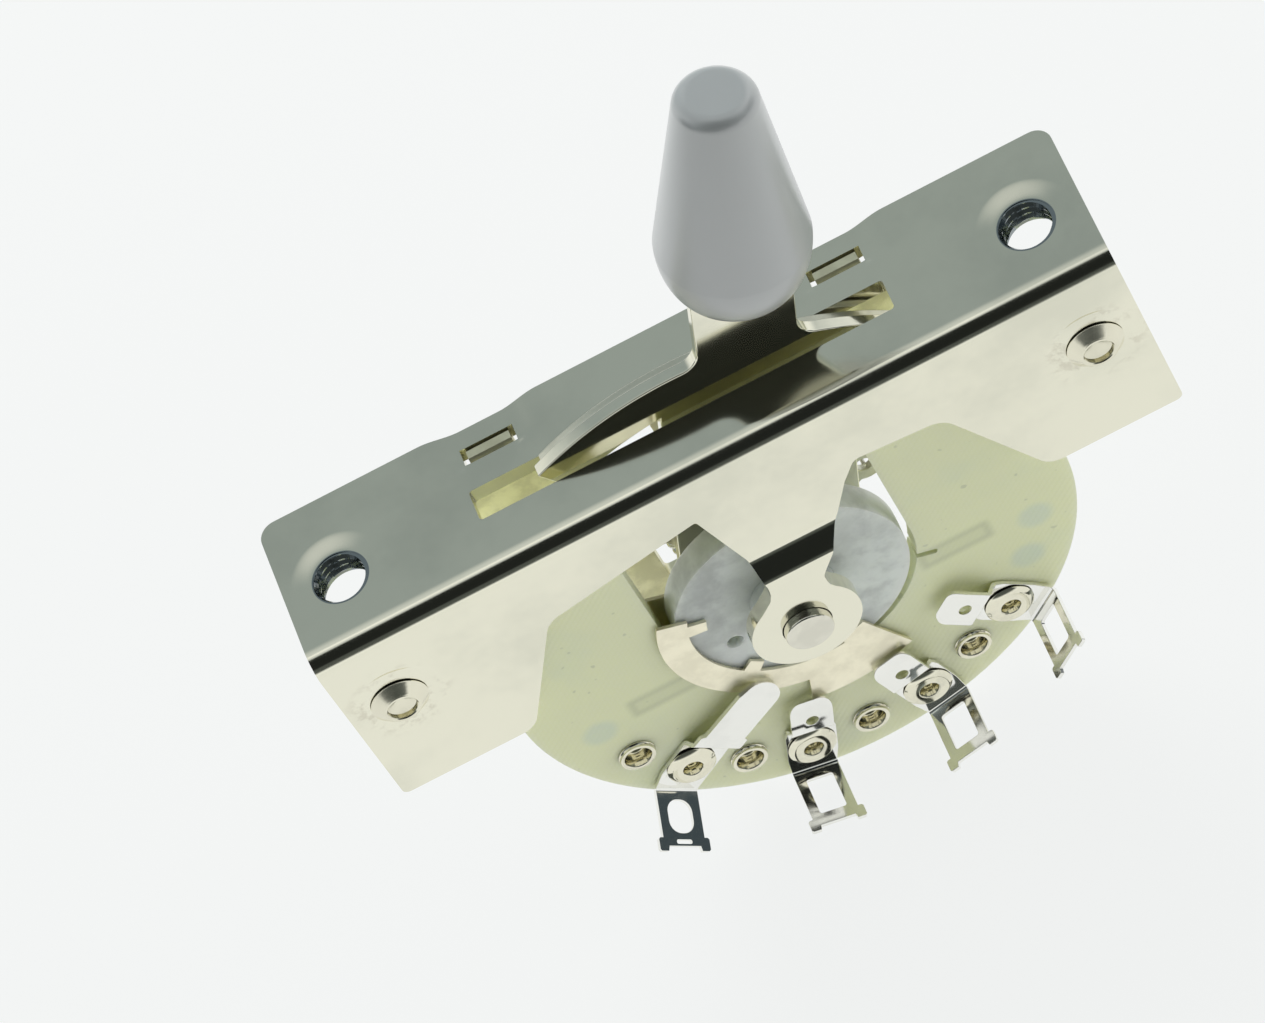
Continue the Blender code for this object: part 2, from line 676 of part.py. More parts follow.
def make_contact(name, metal, angle, rear, common):
    """One contact. A common one reaches the ring's inner band, aside from its radius."""
    outwards = 1 if rear else -1
    face = WAFER_BACK if rear else WAFER_FRONT
    flat = face + outwards * (SEAT_GAP + LEAF_THICK / 2)
    inner_end, aside = LEAF_INNER_END, 0.0
    lug_length, lean = LUG_LENGTH, 0.0
    window, window_length = LUG_WINDOW_START, LUG_WINDOW_LENGTH
    if common:
        turn = math.radians(COMMON_END_ANGLE - (CONTACT_FIRST_ANGLE + CONTACT_STEP))
        inner_end = COMMON_END_RADIUS * math.cos(turn)
        aside = COMMON_END_RADIUS * math.sin(turn)
        lug_length, lean = COMMON_LUG_LENGTH, COMMON_LUG_LEAN
        window_length = COMMON_WINDOW_LENGTH
    path = leaf_path(inner_end, flat, outwards, lug_length, lean)
    lengths = path_lengths(path)
    rivet, fold = lengths[3] + CONTACT_CIRCLE - path[3][0], lengths[-2]
    half = LEAF_THICK / 2
    leaf = new_object(name, prism(leaf_outline(rivet, fold, lengths[-1], common), -half, half), metal)
    cut_round(leaf, (0, rivet), RIVET_RADIUS + SEAT_GAP, -1, 1, SMALL_ROUND)
    opening = box_outline(0, fold + window + window_length / 2, LUG_WINDOW_WIDTH, window_length)
    cut_outline(leaf, opening, -1, 1)
    if not common:
        cut_round(leaf, (0, rivet - FINGER_HOLE_REACH), FINGER_HOLE, -1, 1, 8)
    spin = math.radians(angle)

    def place(across, point):
        reach = max(0.0, (CONTACT_CIRCLE - point.x) / (CONTACT_CIRCLE - inner_end))
        across += aside * reach
        x = point.x * math.cos(spin) - across * math.sin(spin)
        z = point.x * math.sin(spin) + across * math.cos(spin)
        return (x, point.y, PIVOT_Z + z)

    fold_blank(leaf, path, place)
    shade(leaf)


def make_contact_rivet(name, metal, angle, rear):
    """Tubular rivet. Its head clamps the contact, and its other end is an eyelet."""
    x, z = polar(CONTACT_CIRCLE, angle)
    grip = LEAF_THICK + SEAT_GAP
    front = WAFER_FRONT - SEAT_GAP - (0 if rear else grip)
    back = WAFER_BACK + SEAT_GAP + (grip if rear else 0)
    front_head, back_head = (EYELET_HEAD, RIVET_HEAD) if rear else (RIVET_HEAD, EYELET_HEAD)
    thick = RIVET_HEAD_THICK
    profile = [
        (RIVET_BORE, front - thick * 0.6),
        (RIVET_BORE + 0.15, front - thick),
        (front_head - 0.15, front - thick),
        (front_head, front - thick * 0.5),
        (front_head, front),
        (RIVET_RADIUS, front),
        (RIVET_RADIUS, back),
        (back_head, back),
        (back_head, back + thick * 0.5),
        (back_head - 0.15, back + thick),
        (RIVET_BORE + 0.15, back + thick),
        (RIVET_BORE, back + thick * 0.6),
    ]
    rivet = new_object(name, turned(profile, SMALL_ROUND, (x, PIVOT_Z + z), bored=True), metal)
    shade(rivet, 50)


def shoulder_side(side, outer, angle, depth, half_width):
    """One side of a plate's hump, from its underside at the stem to its top at the blade."""
    end = 90 - side * angle
    inner = outer - depth
    stem = math.degrees(math.acos(half_width / inner))
    under = arc((0, 0), inner, stem if side > 0 else 180 - stem, end, 6)
    return under, end


def lever_outline():
    points = []
    for side in (1, -1):
        under, end = shoulder_side(side, SHOULDER_RADIUS, SHOULDER_ANGLE, SHOULDER_DEPTH, WAIST_HALF_WIDTH)
        half = side * BLADE_HALF_WIDTH
        root_v = math.sqrt(SHOULDER_RADIUS**2 - BLADE_HALF_WIDTH**2)
        root = (half, root_v)
        start = math.degrees(math.atan2(root_v, half))
        over = arc((0, 0), SHOULDER_RADIUS, end, start, 12)[:-2]
        run = [(side * FORK_HALF_WIDTH, -FORK_END), (side * FORK_HALF_WIDTH, -8.0)]
        run += [(side * WAIST_HALF_WIDTH, -3.5)] + under + over
        run += fillet(root, over[-1], (half, BLADE_NECK), SHOULDER_FILLET, 4)
        run += [(half, BLADE_NECK - 1.5), (side * BLADE_NECK_HALF_WIDTH, BLADE_NECK)]
        run += [(side * BLADE_NECK_HALF_WIDTH, BLADE_TOP)]
        points += run if side > 0 else list(reversed(run))
    return points


def square_hole():
    size = DRIVE_SQUARE + 2 * DRIVE_CLEARANCE
    return box_outline(0, 0, size, size)


def make_lever(metal, swing):
    lever = new_object("lever", prism(lever_outline(), LEVER_FRONT, LEVER_BACK), metal, swing)
    low, high = LEVER_FRONT - 1, LEVER_BACK + 1
    cut_outline(lever, square_hole(), low, high)
    reach = ROLLER_NECK + RUN_GAP
    slot = arc((0, -ROLLER_DISTANCE), reach, 180, 360, 8)
    slot += arc((0, -ROLLER_DISTANCE + NOTCH_DEPTH), reach, 0, 180, 8)
    cut_outline(lever, slot, low, high)
    shade(lever)


def yoke_outline():
    points = []
    stem = WAIST_HALF_WIDTH - 0.4
    for side in (1, -1):
        under, end = shoulder_side(side, YOKE_RADIUS, YOKE_ANGLE, YOKE_DEPTH, stem)
        over = arc((0, 0), YOKE_RADIUS, end, 90, 8)
        ear = (side * YOKE_EAR[0], YOKE_EAR[1])
        round_ear = arc(ear, YOKE_EAR_RADIUS, -100 if side > 0 else 280, 80 if side > 0 else 100, 8)
        run = [(side * 2.2, -5.2), (side * stem, -2.5), (side * stem, YOKE_EAR[1] - 2.2)]
        run += round_ear + [(side * stem, YOKE_EAR[1] + 2.2)] + under + over[:-1]
        points += run if side > 0 else [(0, YOKE_RADIUS)] + list(reversed(run))
    return points


def make_yoke(metal, swing):
    yoke = new_object("spring_yoke", prism(yoke_outline(), YOKE_FRONT, YOKE_BACK), metal, swing)
    low, high = YOKE_FRONT - 1, YOKE_BACK + 1
    cut_outline(yoke, square_hole(), low, high)
    for side in (-1, 1):
        hole = (side * YOKE_EAR[0], YOKE_EAR[1])
        cut_round(yoke, hole, 4 * SPRING_WIRE, low, high, 12)
    shade(yoke)


def make_roller(steel, swing):
    head_front = LEVER_FRONT - 2 * RUN_GAP
    profile = [
        (1.0, head_front),
        (1.0, LEVER_FRONT - RUN_GAP),
        (ROLLER_NECK, LEVER_FRONT - RUN_GAP),
        (ROLLER_NECK, REAR_FRONT - REST_GAP),
        (ROLLER_RADIUS, REAR_FRONT - REST_GAP),
        (ROLLER_RADIUS, REAR_BACK + REST_GAP),
    ]
    roller = new_object("detent_roller", turned(profile, 20), steel, swing)
    roller.location = (0, 0, -ROLLER_DISTANCE * MM)
    shade(roller, 50)


def tube(points, radius, sides):
    """Wire of this radius along the points, in mm, with closed ends."""
    mesh_data = bmesh.new()
    rings = []
    side = None
    for i, point in enumerate(points):
        ahead = (points[min(i + 1, len(points) - 1)] - points[max(i - 1, 0)]).normalized()
        if side is None:
            side = ahead.orthogonal().normalized()
        side = (side - ahead * side.dot(ahead)).normalized()
        up = ahead.cross(side)
        ring = []
        for j in range(sides):
            angle = 2 * math.pi * j / sides
            offset = side * math.cos(angle) + up * math.sin(angle)
            ring.append(mesh_data.verts.new((point + offset * radius) * MM))
        rings.append(ring)
    for ring, following in zip(rings, rings[1:]):
        for j in range(sides):
            k = (j + 1) % sides
            mesh_data.faces.new((ring[j], ring[k], following[k], following[j]))
    mesh_data.faces.new(rings[0])
    mesh_data.faces.new(rings[-1])
    return mesh_data


def spring_points(side):
    """Wire of one detent spring: a hook on the roller, the coil and a hook in the yoke's ear."""
    top = Vector((side * YOKE_EAR[0], SPRING_Y, YOKE_EAR[1]))
    bottom = Vector((0, SPRING_Y, -ROLLER_DISTANCE))
    ahead = (top - bottom).normalized()
    across = Vector((0, 1, 0)).cross(ahead).normalized()
    level = side * 2.5 * SPRING_WIRE
    points = []
    for i in range(9):
        angle = math.radians(-90 + 30 * i)
        hook = -ahead * math.cos(angle - math.pi / 2) + across * math.sin(angle - math.pi / 2)
        points.append(bottom + hook * SPRING_HOOK + Vector((0, level, 0)))
    length = (top - bottom).length
    start, end = 0.2 * length, 0.82 * length
    steps = SPRING_TURNS * SPRING_STEPS
    for i in range(steps + 1):
        angle = 2 * math.pi * i / SPRING_STEPS
        centre = bottom + ahead * (start + (end - start) * i / steps)
        points.append(centre + (across * math.cos(angle) + Vector((0, 1, 0)) * math.sin(angle)) * SPRING_RADIUS)
    points.append(top - ahead * 1.1)
    points.append(top - ahead * 0.15 - Vector((0, 0.25, 0)))
    points.append(top - Vector((0, SPRING_Y - YOKE_BACK, 0)))
    points.append(top - Vector((0, SPRING_Y - YOKE_FRONT + 0.05, 0)))
    return points


def make_spring(name, steel, swing, side):
    spring = new_object(name, tube(spring_points(side), SPRING_WIRE, SPRING_SIDES), steel, swing)
    shade(spring, 80)


def make_pivot(steel):
    front = FRONT_FACE - JOGGLE - SHAFT_PROUD
    seat = REAR_BACK + SEAT_GAP
    profile = [(SHAFT_RADIUS - 0.15, front), (SHAFT_RADIUS, front + 0.15), (SHAFT_RADIUS, seat)]
    profile += [(SHAFT_TAIL_RADIUS, seat), (SHAFT_TAIL_RADIUS, seat + 0.7 * SHAFT_TAIL_THICK)]
    profile += [(SHAFT_TAIL_RADIUS - 0.25, seat + SHAFT_TAIL_THICK)]
    shaft = new_object("pivot_shaft", turned(profile, ROUND, (0, PIVOT_Z)), steel)
    shade(shaft, 50)
    low, high = DRIVE_END + RUN_GAP, REAR_FRONT - SEAT_GAP
    inner = SHAFT_RADIUS + SEAT_GAP
    outer = inner + SPACER_WALL
    sleeve = [(inner, low), (outer, low), (outer, high), (inner, high)]
    shade(new_object("pivot_spacer", turned(sleeve, ROUND, (0, PIVOT_Z), bored=True), steel), 50)


def wing_rivet_profile():
    """Rivet through a wing and the wafer's ear, with a shallow bore in its proud head."""
    seat, back = FRONT_FACE - SEAT_GAP, WAFER_BACK + SEAT_GAP
    face = seat - WING_RIVET_PROUD
    bore, head = WING_RIVET_BORE, WING_RIVET_HEAD
    profile = [(0.2, face + 2 * WING_RIVET_BORE_DEPTH), (bore, face + WING_RIVET_BORE_DEPTH)]
    profile += [(bore, face), (head - 0.15, face), (head, face + 0.15), (head, seat)]
    profile += [(WING_RIVET_RADIUS, seat), (WING_RIVET_RADIUS, back), (head - 0.15, back)]
    profile += [(head - 0.15, back + 0.5 * WING_RIVET_TAIL), (head - 0.45, back + WING_RIVET_TAIL)]
    return profile


def make_wing_rivet(name, metal, side):
    centre = (side * WING_RIVET_X, -WING_RIVET_DROP)
    shade(new_object(name, turned(wing_rivet_profile(), ROUND, centre), metal), 50)


def tip_profile():
    """Radius and height of the tip: a domed end at the blade and a long taper."""
    base = 1.9
    profile = []
    for i in range(9):
        angle = math.radians(90 * i / 8)
        radius = base + (TIP_RADIUS - base) * math.sin(angle)
        profile.append((radius, TIP_BOTTOM + TIP_WIDEST * (1 - math.cos(angle))))
    top = TIP_BOTTOM + TIP_LENGTH
    for i in range(6):
        angle = math.radians(8 + 82 * i / 5)
        radius = TIP_END_RADIUS - TIP_END_ROUND * (1 - math.cos(angle))
        profile.append((radius, top - TIP_END_ROUND * (1 - math.sin(angle))))
    return profile


def make_tip(plastic, swing):
    profile = [(radius, -height) for radius, height in tip_profile()]
    tip = new_object("lever_tip", upright(turned(profile, TIP_ROUND)), plastic, swing)
    tip.location = (0, (LEVER_FRONT + LEVER_BACK) / 2 * MM, 0)
    half = BLADE_NECK_HALF_WIDTH + SOCKET_CLEARANCE
    wide = BLADE_HALF_WIDTH + SOCKET_CLEARANCE
    outline = [(-wide, TIP_BOTTOM - 1), (wide, TIP_BOTTOM - 1), (wide, BLADE_NECK - 1.2), (half, BLADE_NECK + 0.2)]
    outline += [(half, BLADE_TOP + 0.3), (-half, BLADE_TOP + 0.3), (-half, BLADE_NECK + 0.2), (-wide, BLADE_NECK - 1.2)]
    thick = LEVER_THICK / 2 + SOCKET_CLEARANCE
    socket = cutter("socket", prism(outline, -thick, thick), swing)
    socket.location = tip.location
    combine(tip, socket, "DIFFERENCE")
    shade(tip, 40)


def main():
    clear_scene()
    nickel = make_material("nickel_plate", (0.72, 0.71, 0.66), 0.22, 1.0)
    zinc = make_material("rear_plate_steel", (0.62, 0.6, 0.52), 0.5, 1.0)
    silver = make_material("contact_silver", (0.86, 0.85, 0.82), 0.18, 1.0)
    brass = make_material("ring_metal", (0.84, 0.79, 0.68), 0.35, 1.0)
    steel = make_material("bright_steel", (0.66, 0.66, 0.65), 0.3, 1.0)
    fibreglass = make_material("fibreglass", (0.62, 0.66, 0.48), 0.55, 0.0)
    rotor_plastic = make_material("rotor_plastic", (0.68, 0.71, 0.72), 0.4, 0.0)
    tip_plastic = make_material("tip_plastic", (0.82, 0.84, 0.85), 0.4, 0.0)

    swing = bpy.data.objects.new("swing_axis", None)
    bpy.context.collection.objects.link(swing)
    swing.location = (0, 0, PIVOT_Z * MM)
    swing.rotation_euler = (0, math.radians(LEVER_TILT), 0)
    bpy.context.view_layer.update()

    make_frame(nickel)
    make_rear_plate(zinc)
    make_wafer(fibreglass)
    make_rotor(rotor_plastic, swing)
    make_ring("contact_ring_front", brass, swing, RING_FRONT_BACK - RING_THICK, RING_FRONT_BACK)
    make_ring("contact_ring_rear", brass, swing, RING_REAR_FRONT, RING_REAR_FRONT + RING_THICK)
    for i in range(CONTACT_COUNT):
        rear = i % 2 == 0
        angle = CONTACT_FIRST_ANGLE + CONTACT_STEP * i
        number = i // 2 + 1
        place = "rear" if rear else "front"
        make_contact(f"contact_{place}_{number}", silver, angle, rear, number == 1)
        make_contact_rivet(f"contact_rivet_{place}_{number}", brass, angle, rear)
    make_lever(nickel, swing)
    make_yoke(nickel, swing)
    make_tip(tip_plastic, swing)
    make_roller(steel, swing)
    make_pivot(steel)
    for side, place in ((-1, "left"), (1, "right")):
        make_spring(f"detent_spring_{place}", steel, swing, side)
        make_wing_rivet(f"frame_rivet_{place}", brass, side)


main()
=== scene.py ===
"""Looks of the lever selector switch, laid out as a Blender add-on and run as a script.

Sizes in the shape code are millimetres in the CAD frame: X along the flange, +Y to the
rear plate, +Z out of the flange. Shapes that swing are drawn about the pivot with the
lever upright, and are then turned to the lever's resting angle.
"""

import math
import random

import bmesh
import bpy
from mathutils import Matrix, Vector


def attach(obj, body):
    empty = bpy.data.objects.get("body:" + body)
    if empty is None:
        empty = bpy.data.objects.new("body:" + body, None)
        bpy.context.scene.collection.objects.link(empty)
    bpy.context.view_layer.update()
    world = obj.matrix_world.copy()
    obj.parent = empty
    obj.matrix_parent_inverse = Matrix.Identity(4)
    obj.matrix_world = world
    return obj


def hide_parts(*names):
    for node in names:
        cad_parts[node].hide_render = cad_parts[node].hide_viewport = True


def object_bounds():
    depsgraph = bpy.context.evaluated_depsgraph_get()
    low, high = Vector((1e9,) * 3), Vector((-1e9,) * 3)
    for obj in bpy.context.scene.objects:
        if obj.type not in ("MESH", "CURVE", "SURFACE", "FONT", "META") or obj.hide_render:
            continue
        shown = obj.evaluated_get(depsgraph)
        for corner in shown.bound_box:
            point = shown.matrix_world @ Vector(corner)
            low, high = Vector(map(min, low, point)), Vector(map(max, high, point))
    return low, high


bl_info = {
    "name": "Lever selector switch",
    "version": (1, 0, 0),
    "blender": (4, 5, 0),
    "location": "View3D > Sidebar > Switch",
    "description": "Builds the dressed model of an open-frame lever selector switch",
    "category": "Object",
}

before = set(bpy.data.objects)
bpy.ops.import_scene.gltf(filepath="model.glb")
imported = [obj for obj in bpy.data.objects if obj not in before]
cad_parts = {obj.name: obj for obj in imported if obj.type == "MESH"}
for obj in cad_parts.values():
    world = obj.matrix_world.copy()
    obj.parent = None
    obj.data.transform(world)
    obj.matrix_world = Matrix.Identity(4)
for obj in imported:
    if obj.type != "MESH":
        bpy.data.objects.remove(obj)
CAD_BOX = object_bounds()

MM = 0.001
FIXED_BODY = "frame"
MOVING_BODY = "lever_assembly"

# Folded frame
SHEET = 1.0
FLANGE_LENGTH = 47.85
FLANGE_BACK = 7.63
FRONT_FACE = -2.61
BEND_INSIDE = 0.4
WING_DEPTH = 13.8
FLANGE_CORNER = 1.0
WING_CORNER = 0.4
HOLE_SPACING = 41.28
HOLE_Y = 2.3
HOLE_RADIUS = 1.6
COLLAR_WALL = 0.7
COLLAR_DEPTH = 1.1
THREAD_PITCH = 0.5
THREAD_DEPTH = 0.2
THREAD_INSET = 0.24
THREAD_ROWS = 8
THREAD_LAP = 0.03
DISH_DEPTH = 0.2
DISH_WIDTH = 1.3
DISH_STEPS = 10
DISH_START = -0.004
DISH_LAP = 0.5
SLOT_HALF_LENGTH = 12.45
SLOT_FRONT = 1.23
SLOT_BACK = 3.3
SLOT_CORNER = 0.2
JOGGLE = 1.22
JOGGLE_TOP = -8.9
JOGGLE_BOTTOM = -10.4
JOGGLE_STEPS = 14
RAMP_STEPS = 8
DENT_STEPS = 24
EYE_RADIUS = 3.2
DENT_DEPTH = 0.45
DENT_HALF_WIDTH = 3.6
DENT_FRONT = 4.4
DENT_RAMP = 1.2
STAKE_DEPTH = 0.15
STAKE_HALF_WIDTH = 1.9
STAKE_FRONT = 3.4
STAKE_RAMP = 0.9
STAKE_SIDE = 0.8
TAB_SIDE_GAP = 0.3
TAB_FACE_GAP = 0.08
WING_FOOT = 15.8
WING_FOOT_ROUND = 1.3
WING_SHOULDER = 11.9
WING_SHOULDER_DROP = 5.7
WING_SHOULDER_ROUND = 1.5
WING_ROOT = 9.3
WING_ROOT_DROP = 5.45
PRESS_RADIUS = 2.65
PRESS_DEPTH = 0.03
PRESS_EDGE = 0.12
STAIN_INNER = 1.9
STAIN_OUTER = 3.6

# Swing
PIVOT_Z = -15.14
LEVER_TILT = 15.0
STEP_ANGLE = 15.0
POSITIONS = 5
SHAFT_RADIUS = 1.4
SHAFT_PROUD = 0.6
SHAFT_TAIL_RADIUS = 2.05
SPACER_WALL = 0.59
SHAFT_TAIL_THICK = 0.5
SHAFT_END_ROUND = 0.14
SHAFT_TAIL_ROUND = 0.25
SHAFT_CLEARANCE = 0.12
SEAT_GAP = 0.06
RUN_GAP = 0.15
REST_GAP = 0.3

# Wafer
WAFER_THICK = 1.6
WAFER_RADIUS = 16.73
WAFER_HOLE = 7.3
WAFER_WINDOW_TOP = -4.6
WAFER_EAR_BOTTOM = -10.4
WAFER_EAR_HALF = 23.3
WAFER_SLIT_ANGLE = -19.5
WAFER_SLIT_LENGTH = 1.2
WAFER_SLIT_WIDTH = 0.36
WAFER_SLIT_LAP = 0.5
WAFER_SLIT_CORNER = 0.12

# Rotor and rings
ROTOR_RADIUS = 6.85
ROTOR_PROUD = 0.1
HUB_RADIUS = 2.5
DRIVE_SQUARE = 4.2
DRIVE_CLEARANCE = 0.1
RING_THICK = 0.22
RING_INNER = 6.2
RING_OUTER = 8.0
RING_LOBE = 9.9
RING_START = -186.5
RING_END = -49.5
LOBE_START = -88.0
RING_TABS = ((-66.0, -49.5, 5.7), (-122.8, -113.2, 5.4), (-183.0, -174.0, 5.1))
ROTOR_PIN_HOLE = 0.5
ROTOR_PIN_RADIUS = 4.5
ROTOR_PIN_ANGLE = -142.6

# Contacts
CONTACT_CIRCLE = 14.16
CONTACT_FIRST_ANGLE = -150.0
CONTACT_STEP = 15.0
CONTACT_COUNT = 8
LEAF_THICK = 0.25
LEAF_WIDTH = 3.0
LEAF_INNER_WIDTH = 2.5
LEAF_INNER_END = 9.5
LEAF_FOLD = 16.5
LEAF_LIFT = 0.7
LEAF_BEND_START = 2.3
LEAF_BEND_LENGTH = 0.7
LEAF_SHOULDER = 2.0
COMMON_SHOULDER = 3.4
LEAF_SLOPE = 0.8
COMMON_SLOPE = 0.15
LEAF_FOLD_RADIUS = 0.35
FINGER_DROP = 0.28
FINGER_TIP = 0.6
FINGER_HOLE = 0.38
FINGER_HOLE_REACH = 3.55
FINGER_ROUND = 0.7
COMMON_END_RADIUS = 6.9
COMMON_END_ANGLE = -124.0
LUG_LENGTH = 4.0
COMMON_LUG_LENGTH = 3.5
COMMON_LUG_LEAN = 22.0
LUG_WIDTH = 2.7
LUG_EAR_WIDTH = 3.3
LUG_EAR_LENGTH = 0.8
LUG_WINDOW_WIDTH = 1.6
LUG_WINDOW_LENGTH = 2.5
LUG_WINDOW_START = 0.45
COMMON_WINDOW_LENGTH = 2.0
LUG_WINDOW_CORNER = 0.16
COMMON_WINDOW_CORNER = 0.72
COMMON_SLOT = (1.0, 0.26)
COMMON_SLOT_INSET = 0.55
COMMON_SLOT_CORNER = 0.1
LUG_SPLAY = 1.2
RIVET_RADIUS = 0.92
RIVET_HEAD = 1.45
RIVET_HEAD_THICK = 0.28
RIVET_HEAD_BORE = 0.58
EYELET_HEAD = 1.1
EYELET_BORE = 0.8
CUP_CENTRE = 0.15
CUP_DEPTH = 2.4
HEAD_FLAT = 0.7

BEND_POINTS = 8

# Lever and yoke
LEVER_THICK = 0.8
LEVER_FRONT = 1.75
BLADE_HALF_WIDTH = 2.85
BLADE_NECK_HALF_WIDTH = 2.45
BLADE_NECK = 24.6
BLADE_TOP = 31.9
SHOULDER_RADIUS = 17.8
SHOULDER_ANGLE = 44.0
SHOULDER_FILLET = 1.2
SHOULDER_DEPTH = 2.6
FORK_HALF_WIDTH = 2.0
FORK_END = 14.0
FORK_TOP = 8.0
WAIST_HALF_WIDTH = 5.3
WAIST_BOTTOM = 3.5
NECK_STEP = 1.5
YOKE_THICK = 0.5
YOKE_RADIUS = 17.5
YOKE_ANGLE = 43.0
YOKE_DEPTH = 3.0
YOKE_EAR = (5.9, 3.6)
YOKE_EAR_RADIUS = 1.3
YOKE_EAR_SPAN = 2.2
YOKE_FOOT = (2.2, -5.2)
YOKE_HIP = -2.5
YOKE_STEM_INSET = 0.4

# Detent
ROLLER_RADIUS = 1.2
ROLLER_NECK = 0.6
ROLLER_HEAD = 1.0
ROLLER_EDGE = 0.1
INDEX_RADIUS = 10.6
NOTCH_RADIUS = 1.35
NOTCH_DEPTH = 0.6
INDEX_HALF_ANGLE = 36.0
SPRING_RADIUS = 0.6
SPRING_WIRE = 0.12
SPRING_TURNS = 13
SPRING_HOOK = 0.85
COIL_STEPS = 24
COIL_START = 0.2
COIL_END = 0.82

# Rear plate and wing rivets
REAR_FRONT = 5.35
REAR_TOP = -1.85
REAR_BAR_BOTTOM = -9.6
REAR_HALF_LENGTH = 13.3
REAR_LEFT_LEG = 9.4
REAR_RIGHT_LEG = 5.5
REAR_LEFT_WINDOW = 6.1
REAR_RIGHT_WINDOW = 4.1
REAR_STRAP_HALF = 2.5
REAR_WINDOW_TOP = -4.4
REAR_WINDOW_BOTTOM = -18.0
REAR_WINDOW_CORNER = 0.3
REAR_CORNER = 1.5
REAR_LEFT_DROP = 3.0
REAR_RIGHT_DROP = 6.5
TAB_CENTRE = 10.5
TAB_WIDTH = 2.6
TAB_TOP = -0.35
TAB_RIDGE = 0.5
TAB_PINCH = 0.5
TAB_STEPS = 4
WING_RIVET_X = 21.0
WING_RIVET_DROP = 5.84
WING_RIVET_RADIUS = 1.05
WING_RIVET_HEAD = 1.65
WING_RIVET_PROUD = 0.6
WING_RIVET_TAIL = 0.5
WING_RIVET_BORE = 0.85
WING_RIVET_BORE_DEPTH = 0.35

# Tip
TIP_BOTTOM = 22.8
TIP_LENGTH = 15.2
TIP_RADIUS = 4.2
TIP_WIDEST = 3.9
TIP_END_RADIUS = 2.32
TIP_END_ROUND = 0.9
TIP_BASE_RADIUS = 1.9
TIP_TAPER_END = 8.0
SOCKET_CLEARANCE = 0.12
SOCKET_TAPER = (-1.2, 0.2)
TIP_EDGE = 0.08

# Faces worked out from the sizes above
FRONT_INNER = FRONT_FACE + SHEET
WAFER_FRONT = FRONT_INNER + REST_GAP
WAFER_BACK = WAFER_FRONT + WAFER_THICK
WAFER_TOP = -SHEET - COLLAR_DEPTH - RUN_GAP
ROTOR_FRONT = WAFER_FRONT - ROTOR_PROUD
ROTOR_BACK = WAFER_BACK + ROTOR_PROUD
RING_FRONT_BACK = ROTOR_FRONT - SEAT_GAP
RING_REAR_FRONT = ROTOR_BACK + SEAT_GAP
LEVER_BACK = LEVER_FRONT + LEVER_THICK
YOKE_FRONT = LEVER_BACK + 2 * SEAT_GAP
YOKE_BACK = YOKE_FRONT + YOKE_THICK
EYE_BACK = FRONT_INNER - JOGGLE
REAR_BACK = REAR_FRONT + SHEET
SPRING_Y = (YOKE_BACK + REAR_FRONT) / 2
ROLLER_DISTANCE = INDEX_RADIUS + ROLLER_RADIUS + RUN_GAP
DRIVE_END = YOKE_BACK + REST_GAP

# Camera, as fitted to the photograph
CAMERA_PLACE = (0.02422, -0.2159, 0.28212)
CAMERA_RIGHT = (0.8868, -0.3204, -0.333)
CAMERA_UP = (0.4548, 0.7326, 0.5064)
CAMERA_BACK = (0.0817, -0.6006, 0.7954)
CAMERA_LENS = 190.5
SENSOR = 36.0


def arc(centre, radius, start, end, count):
    """Points of an arc from start to end degrees, both ends included."""
    points = []
    for i in range(count + 1):
        angle = math.radians(start + (end - start) * i / count)
        points.append((centre[0] + radius * math.cos(angle), centre[1] + radius * math.sin(angle)))
    return points


def fillet(corner, before, after, radius, count=10):
    """Arc that rounds a corner between the lines to before and after."""
    corner = Vector(corner)
    to_before = (Vector(before) - corner).normalized()
    to_after = (Vector(after) - corner).normalized()
    half = to_before.angle(to_after) / 2
    centre = corner + (to_before + to_after).normalized() * (radius / math.sin(half))
    first = corner + to_before * (radius / math.tan(half))
    last = corner + to_after * (radius / math.tan(half))
    start = math.atan2(first.y - centre.y, first.x - centre.x)
    sweep = math.atan2(last.y - centre.y, last.x - centre.x) - start
    sweep = (sweep + math.pi) % (2 * math.pi) - math.pi
    points = []
    for i in range(count + 1):
        angle = start + sweep * i / count
        points.append((centre.x + radius * math.cos(angle), centre.y + radius * math.sin(angle)))
    return points


def polar(radius, angle):
    return (radius * math.cos(math.radians(angle)), radius * math.sin(math.radians(angle)))


def box_outline(x, z, width, height):
    left, right = x - width / 2, x + width / 2
    low, high = z - height / 2, z + height / 2
    return [(left, low), (right, low), (right, high), (left, high)]


def rounded_outline(outline, radius, count=4):
    """The outline with each corner rounded by this radius."""
    points = []
    for i, corner in enumerate(outline):
        after = outline[(i + 1) % len(outline)]
        points += fillet(corner, outline[i - 1], after, radius, count)
    return points


def face_outwards(mesh_data):
    bmesh.ops.recalc_face_normals(mesh_data, faces=mesh_data.faces)
    if mesh_data.calc_volume(signed=True) < 0:
        bmesh.ops.reverse_faces(mesh_data, faces=mesh_data.faces)


def open_mesh(obj):
    mesh_data = bmesh.new()
    mesh_data.from_mesh(obj.data)
    return mesh_data


def close_mesh(obj, mesh_data):
    mesh_data.to_mesh(obj.data)
    mesh_data.free()


def new_object(name, mesh_data):
    mesh = bpy.data.meshes.new(name)
    face_outwards(mesh_data)
    mesh_data.to_mesh(mesh)
    mesh_data.free()
    obj = bpy.data.objects.new(name, mesh)
    bpy.context.scene.collection.objects.link(obj)
    return obj


